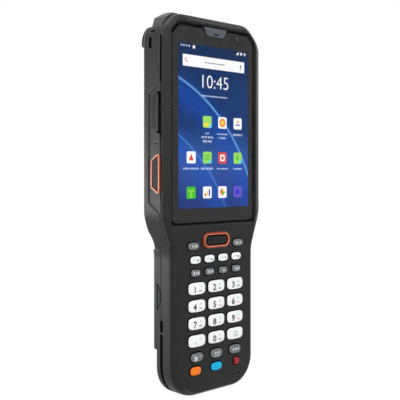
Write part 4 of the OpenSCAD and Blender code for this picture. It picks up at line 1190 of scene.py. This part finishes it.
class TERMINAL_OT_top_and_back(bpy.types.Operator):
    """Make the scan window, the rear camera, the flash and the speaker's cloth"""

    bl_idname = "terminal.top_and_back"
    bl_label = "Top and back"

    def execute(self, context):
        coat("scan_red", "scan_window")
        coat("engine_case", "scan_engine")
        coat("speaker_cloth", "speaker")
        x, z, radius, _ = extents("rear_camera")
        front, back = depths("rear_camera")
        lens = [(radius, front), *((radius - inset, back + rise) for inset, rise in REAR_RIM),
                *((r, back + rise) for r, rise in REAR_LENS)]
        camera = turned(lens, x, z, steps=64)
        piece("rear_camera_lens", camera, "housing", ["camera_black"], ["rear_camera"])
        x, z, radius, _ = extents("camera_flash")
        front, back = depths("camera_flash")
        ribs = [(radius, front), (radius, back - FLASH_SIDE)]
        for k in range(FLASH_RIBS):
            r = radius - FIRST_RIB - RIB_STEP * k
            ribs += [(r, back - RIB_EDGE), (r - RIB_WIDTH, back - RIB_GROOVE)]
        ribbed = turned(ribs, x, z, smooth=20)
        piece("flash_lens_ribbed", ribbed, "housing", ["flash_lens"], ["camera_flash"])
        return {"FINISHED"}


# A charging pin's profile as shares of its radius and heights in millimetres
PIN_TIP = ((0.25 / 0.9, 0), (0.6 / 0.9, 0.06), (0.82 / 0.9, 0.22), (1, 0.45))
# The pins: how many to a side, and their spacing
PINS, PIN_STEP = 3, 2.5
# The socket's pads: how many to a side, spacing, offset from the middle, height, and a pad's size
PADS, PAD_STEP, PAD_SIDE, PAD_UP, PAD_SIZE = 12, 0.5, 0.365, 2.2, (0.27, 0.05, 2.6)


class TERMINAL_OT_base(bpy.types.Operator):
    """Make the charging socket, its pads and the charging contacts"""

    bl_idname = "terminal.base"
    bl_label = "Base"

    def execute(self, context):
        coat("steel", "usb_connector")
        low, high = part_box("charging_contacts")
        y = (low.y + high.y) / 2
        radius = (high.y - low.y) / 2 / MM
        tall = (high.z - low.z) / MM
        rings = [[Vector((px * MM, pz * MM, up * MM)) for px, pz in circle(share * radius, steps=24)]
                 for share, up in (*PIN_TIP, (1, tall))]
        outer = high.x / MM - radius
        places = [(Vector((side * (outer - PIN_STEP * step) * MM, y, low.z)), WHOLE)
                  for side in (-1, 1) for step in range(PINS)]
        pins = smoothed(repeated(stacked(rings), places, "gold"), smooth=40)
        piece("charging_pins", pins, "housing", ["gold"], ["charging_contacts"])
        # Pads on both sides of the socket's tongue
        low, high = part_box("usb_connector")
        y = (low.y + high.y) / 2
        up = low.z + PAD_UP * MM
        first = (PADS - 1) / 2
        places = [(Vector(((step - first) * PAD_STEP * MM, y + side * PAD_SIDE * MM, up)), WHOLE)
                  for side in (-1, 1) for step in range(PADS)]
        pads = repeated(block(*PAD_SIZE), places, "gold")
        piece("socket_pads", pads, "housing", ["gold"])
        return {"FINISHED"}


# A cover screw in millimetres: radii of its core, thread and head, and the pitch of its thread
CORE_R, THREAD_R, HEAD_R, PITCH = 0.66, 0.88, 1.8, 0.6
# Height of the head, where the thread ends, and the length of the screws in the grip
HEAD_TALL, THREAD_END, SHORT_SCREW = 1.4, 7.0, 7.45
# Tip and head with its socket as (radius, rise, swell of the lobes), from the tip and from the top
SCREW_TIP = ((0.35, 0, 0), (0.62, 0.3, 0))
SCREW_HEAD = ((HEAD_R, -0.25, 0), (1.62, 0, 0), (0.95, 0, 0.16), (0.9, -0.75, 0.16), (0.3, -0.85, 0))
# Points nearer than this are on one tip; screws within the band from the outermost one are long
TIP_WIDTH, LONG_BAND = 2.5, 3
# Points in one ring round a screw
SCREW_STEPS = 36


class TERMINAL_OT_screws(bpy.types.Operator):
    """Make the cover screws with their lobed sockets"""

    bl_idname = "terminal.screws"
    bl_label = "Screws"

    def screw(self, length):
        """One screw standing along y: its tip at the origin, its head behind."""
        lobes = sizes().screw_lobes
        under = length - HEAD_TALL
        profile = [*SCREW_TIP]
        at = PITCH
        while at < min(under, THREAD_END) - PITCH:
            profile += [(THREAD_R, at, 0), (CORE_R, at + PITCH / 2, 0)]
            at += PITCH
        profile += [(CORE_R, at, 0), (CORE_R, under, 0), (HEAD_R, under, 0)]
        profile += [(radius, length + rise, swell) for radius, rise, swell in SCREW_HEAD]
        turns = [2 * math.pi * k / SCREW_STEPS for k in range(SCREW_STEPS)]
        rings = []
        for radius, depth, swell in profile:
            radii = [radius * (1 + swell * math.cos(lobes * turn)) for turn in turns]
            rings.append([Vector((r * math.cos(turn), depth, r * math.sin(turn))) * MM
                          for r, turn in zip(radii, turns)])
        return stacked(rings, smooth=30)

    def execute(self, context):
        low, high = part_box("cover_screws")
        tip, back = depths("cover_screws")
        x_head = high.x / MM - HEAD_R
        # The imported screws' tips lie on the front plane: points near each other are one tip
        cad = sorted({(round(v.co.x / MM, 1), round(v.co.z / MM, 1))
                      for v in NODES["cover_screws"].data.vertices if abs(v.co.y - low.y) < PACKED_WELD})
        tips = []
        for point in cad:
            near = [known for known in tips if math.dist(known[0], point) < TIP_WIDTH]
            if near:
                near[0].append(point)
            else:
                tips.append([point])
        places = {True: [], False: []}
        for points in tips:
            x, z = ((min(values) + max(values)) / 2 for values in zip(*points))
            places[abs(x) > x_head - LONG_BAND].append((spot(x, tip, z), WHOLE))
        parts = [(repeated(self.screw(length), places[is_long], "steel"), 0)
                 for is_long, length in ((True, back - tip), (False, SHORT_SCREW))]
        piece("cover_screws_lobed", joined(parts, smooth=30), "housing", ["steel"], ["cover_screws"])
        return {"FINISHED"}


class TERMINAL_OT_inner_parts(bpy.types.Operator):
    """Give the boards, the key mat and the battery's contacts their finishes"""

    bl_idname = "terminal.inner_parts"
    bl_label = "Inner parts"

    def execute(self, context):
        coat("board", "main_board", "keypad_board")
        coat("key_mat", "keypad_mat")
        coat("gold", "battery_contacts")
        return {"FINISHED"}


# Softboxes: place, width, height, and how many times as bright as white they shine
LAMPS = {
    "front": ((-0.1, -1.3, 0.65), 0.9, 0.9, 2.35),
    "near": ((-0.85, -0.93, 0.3), 0.45, 0.45, 1.6),
    "top": ((-0.14, -0.33, 1.15), 0.45, 0.45, 7.4),
    "rear": ((0.28, 1.2, 0.35), 0.6, 0.7, 3.0),
    "left": ((-0.44, 0.44, 0.07), 0.4, 0.13, 11.2),
    "right": ((1.1, 0.5, 0.5), 0.7, 0.7, 1.4),
}
# What the lamps point at
MIDDLE = (0, 0, 0.11)
WHITE = (1, 1, 1, 1)
# Strength of the world where it lights the object; 1 is the white that is seen behind it
DIM = 0.5
# The floor as it is seen: this share glows, 0.95 of white in all, the rest shows the lamps' light and shadow
FLOOR_SHARE, FLOOR_GLOW = 0.88, 1.08
# Its darker patches, as a share of its colour
FLOOR_PATCH = 0.98


class TERMINAL_OT_stage(bpy.types.Operator):
    """Lay the floor, hang the lamps and set the camera"""

    bl_idname = "terminal.stage"
    bl_label = "Stage"

    def lamp(self, name, place, width, height, glow):
        """A softbox whose face shines glow times as bright as white."""
        light = bpy.data.lights.new(name, "AREA")
        light.shape = "RECTANGLE"
        light.size = width
        light.size_y = height
        light.energy = glow * math.pi * width * height
        made = placed(name, light)
        made.visible_camera = False
        made.location = place
        made.rotation_euler = (Vector(MIDDLE) - Vector(place)).to_track_quat("-Z", "Y").to_euler()

    def seen_by_eye(self, tree):
        """1 where the camera looks straight, through glass or by a reflection."""
        path = add(tree, "ShaderNodeLightPath").outputs
        return sums(tree, "MAXIMUM", path["Is Camera Ray"],
                    sums(tree, "MAXIMUM", path["Is Glossy Ray"], path["Is Transmission Ray"]))

    def world(self, scene):
        """White behind everything, dimmer where it lights the object."""
        scene.world = bpy.data.worlds.new("studio")
        scene.world.use_nodes = True
        tree = scene.world.node_tree
        tree.nodes.clear()
        dim, white = (add(tree, "ShaderNodeBackground", {"Color": WHITE, "Strength": strength}).outputs[0]
                      for strength in (DIM, 1.0))
        mix = add(tree, "ShaderNodeMixShader", {0: self.seen_by_eye(tree), 1: dim, 2: white})
        add(tree, "ShaderNodeOutputWorld", {"Surface": mix.outputs[0]})

    def floor(self, scene):
        """A plain pale floor, seen as white outside the object's shadow."""
        half = sizes().floor_size / 2
        mesh = bpy.data.meshes.new("floor")
        corners = [(-half, -half, 0), (half, -half, 0), (half, half, 0), (-half, half, 0)]
        mesh.from_pydata(corners, [], [(0, 1, 2, 3)])
        floor = placed("floor", mesh)
        tree, shader, here = begin("floor_paint")
        ink = scene.terminal_finish.floor
        dark = [c * FLOOR_PATCH for c in ink]
        tint = blended(tree, noise(tree, here, scale=3, detail=2), (*dark, 1), (*ink, 1))
        feed(tree, shader, {"Base Color": tint, "Roughness": 0.8})
        glow = add(tree, "ShaderNodeEmission", {"Color": WHITE, "Strength": FLOOR_GLOW}).outputs[0]
        share = sums(tree, "MULTIPLY", self.seen_by_eye(tree), FLOOR_SHARE)
        both = add(tree, "ShaderNodeMixShader", {0: share, 1: shader.outputs[0], 2: glow})
        out = next(node for node in tree.nodes if node.type == "OUTPUT_MATERIAL")
        feed(tree, out, {"Surface": both.outputs[0]})
        mesh.materials.append(bpy.data.materials["floor_paint"])

    def camera(self, scene):
        """The view from the front left, level, at the height of the display's foot."""
        view = bpy.data.cameras.new("view")
        view.sensor_width = 36
        view.lens = 65.971
        view.shift_y = -0.06563
        view.clip_start = 0.01
        view.clip_end = 50
        camera = placed("view", view)
        camera.location = (-0.27397, -0.29677, 0.11698)
        heading = math.radians(42.672)
        ahead = Vector((math.sin(heading), math.cos(heading), 0))
        camera.rotation_euler = ahead.to_track_quat("-Z", "Y").to_euler()
        scene.camera = camera

    def execute(self, context):
        scene = context.scene
        scene.view_settings.view_transform = "Standard"
        self.world(scene)
        self.floor(scene)
        for name, setting in LAMPS.items():
            self.lamp(name, *setting)
        self.camera(scene)
        return {"FINISHED"}


STEPS = (
    TERMINAL_OT_covers, TERMINAL_OT_side_controls, TERMINAL_OT_keys, TERMINAL_OT_scan_key,
    TERMINAL_OT_display, TERMINAL_OT_top_and_back, TERMINAL_OT_base, TERMINAL_OT_screws,
    TERMINAL_OT_inner_parts, TERMINAL_OT_stage,
)


class TERMINAL_PT_panel(bpy.types.Panel):
    """Lists the settings and the steps"""

    bl_idname = "TERMINAL_PT_panel"
    bl_label = "Barcode Data Terminal"
    bl_space_type = "VIEW_3D"
    bl_region_type = "UI"
    bl_category = "Terminal"

    def draw(self, context):
        for group in (context.scene.terminal_sizes, context.scene.terminal_finish):
            box = self.layout.box()
            for name in group.bl_rna.properties.keys():
                if name not in ("rna_type", "name"):
                    box.prop(group, name)
        for step in STEPS:
            self.layout.operator(step.bl_idname)


CLASSES = (TerminalSizes, TerminalFinish, *STEPS, TERMINAL_PT_panel)


def register():
    """Adds the operators, the panel and both groups of settings."""
    for made in CLASSES:
        bpy.utils.register_class(made)
    bpy.types.Scene.terminal_sizes = PointerProperty(type=TerminalSizes)
    bpy.types.Scene.terminal_finish = PointerProperty(type=TerminalFinish)


def unregister():
    """Takes them out again."""
    del bpy.types.Scene.terminal_finish
    del bpy.types.Scene.terminal_sizes
    for made in reversed(CLASSES):
        bpy.utils.unregister_class(made)


def main():
    """Registers the add-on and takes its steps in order."""
    register()
    for step in STEPS:
        group, name = step.bl_idname.split(".")
        getattr(getattr(bpy.ops, group), name)()


if __name__ == "__main__":
    main()
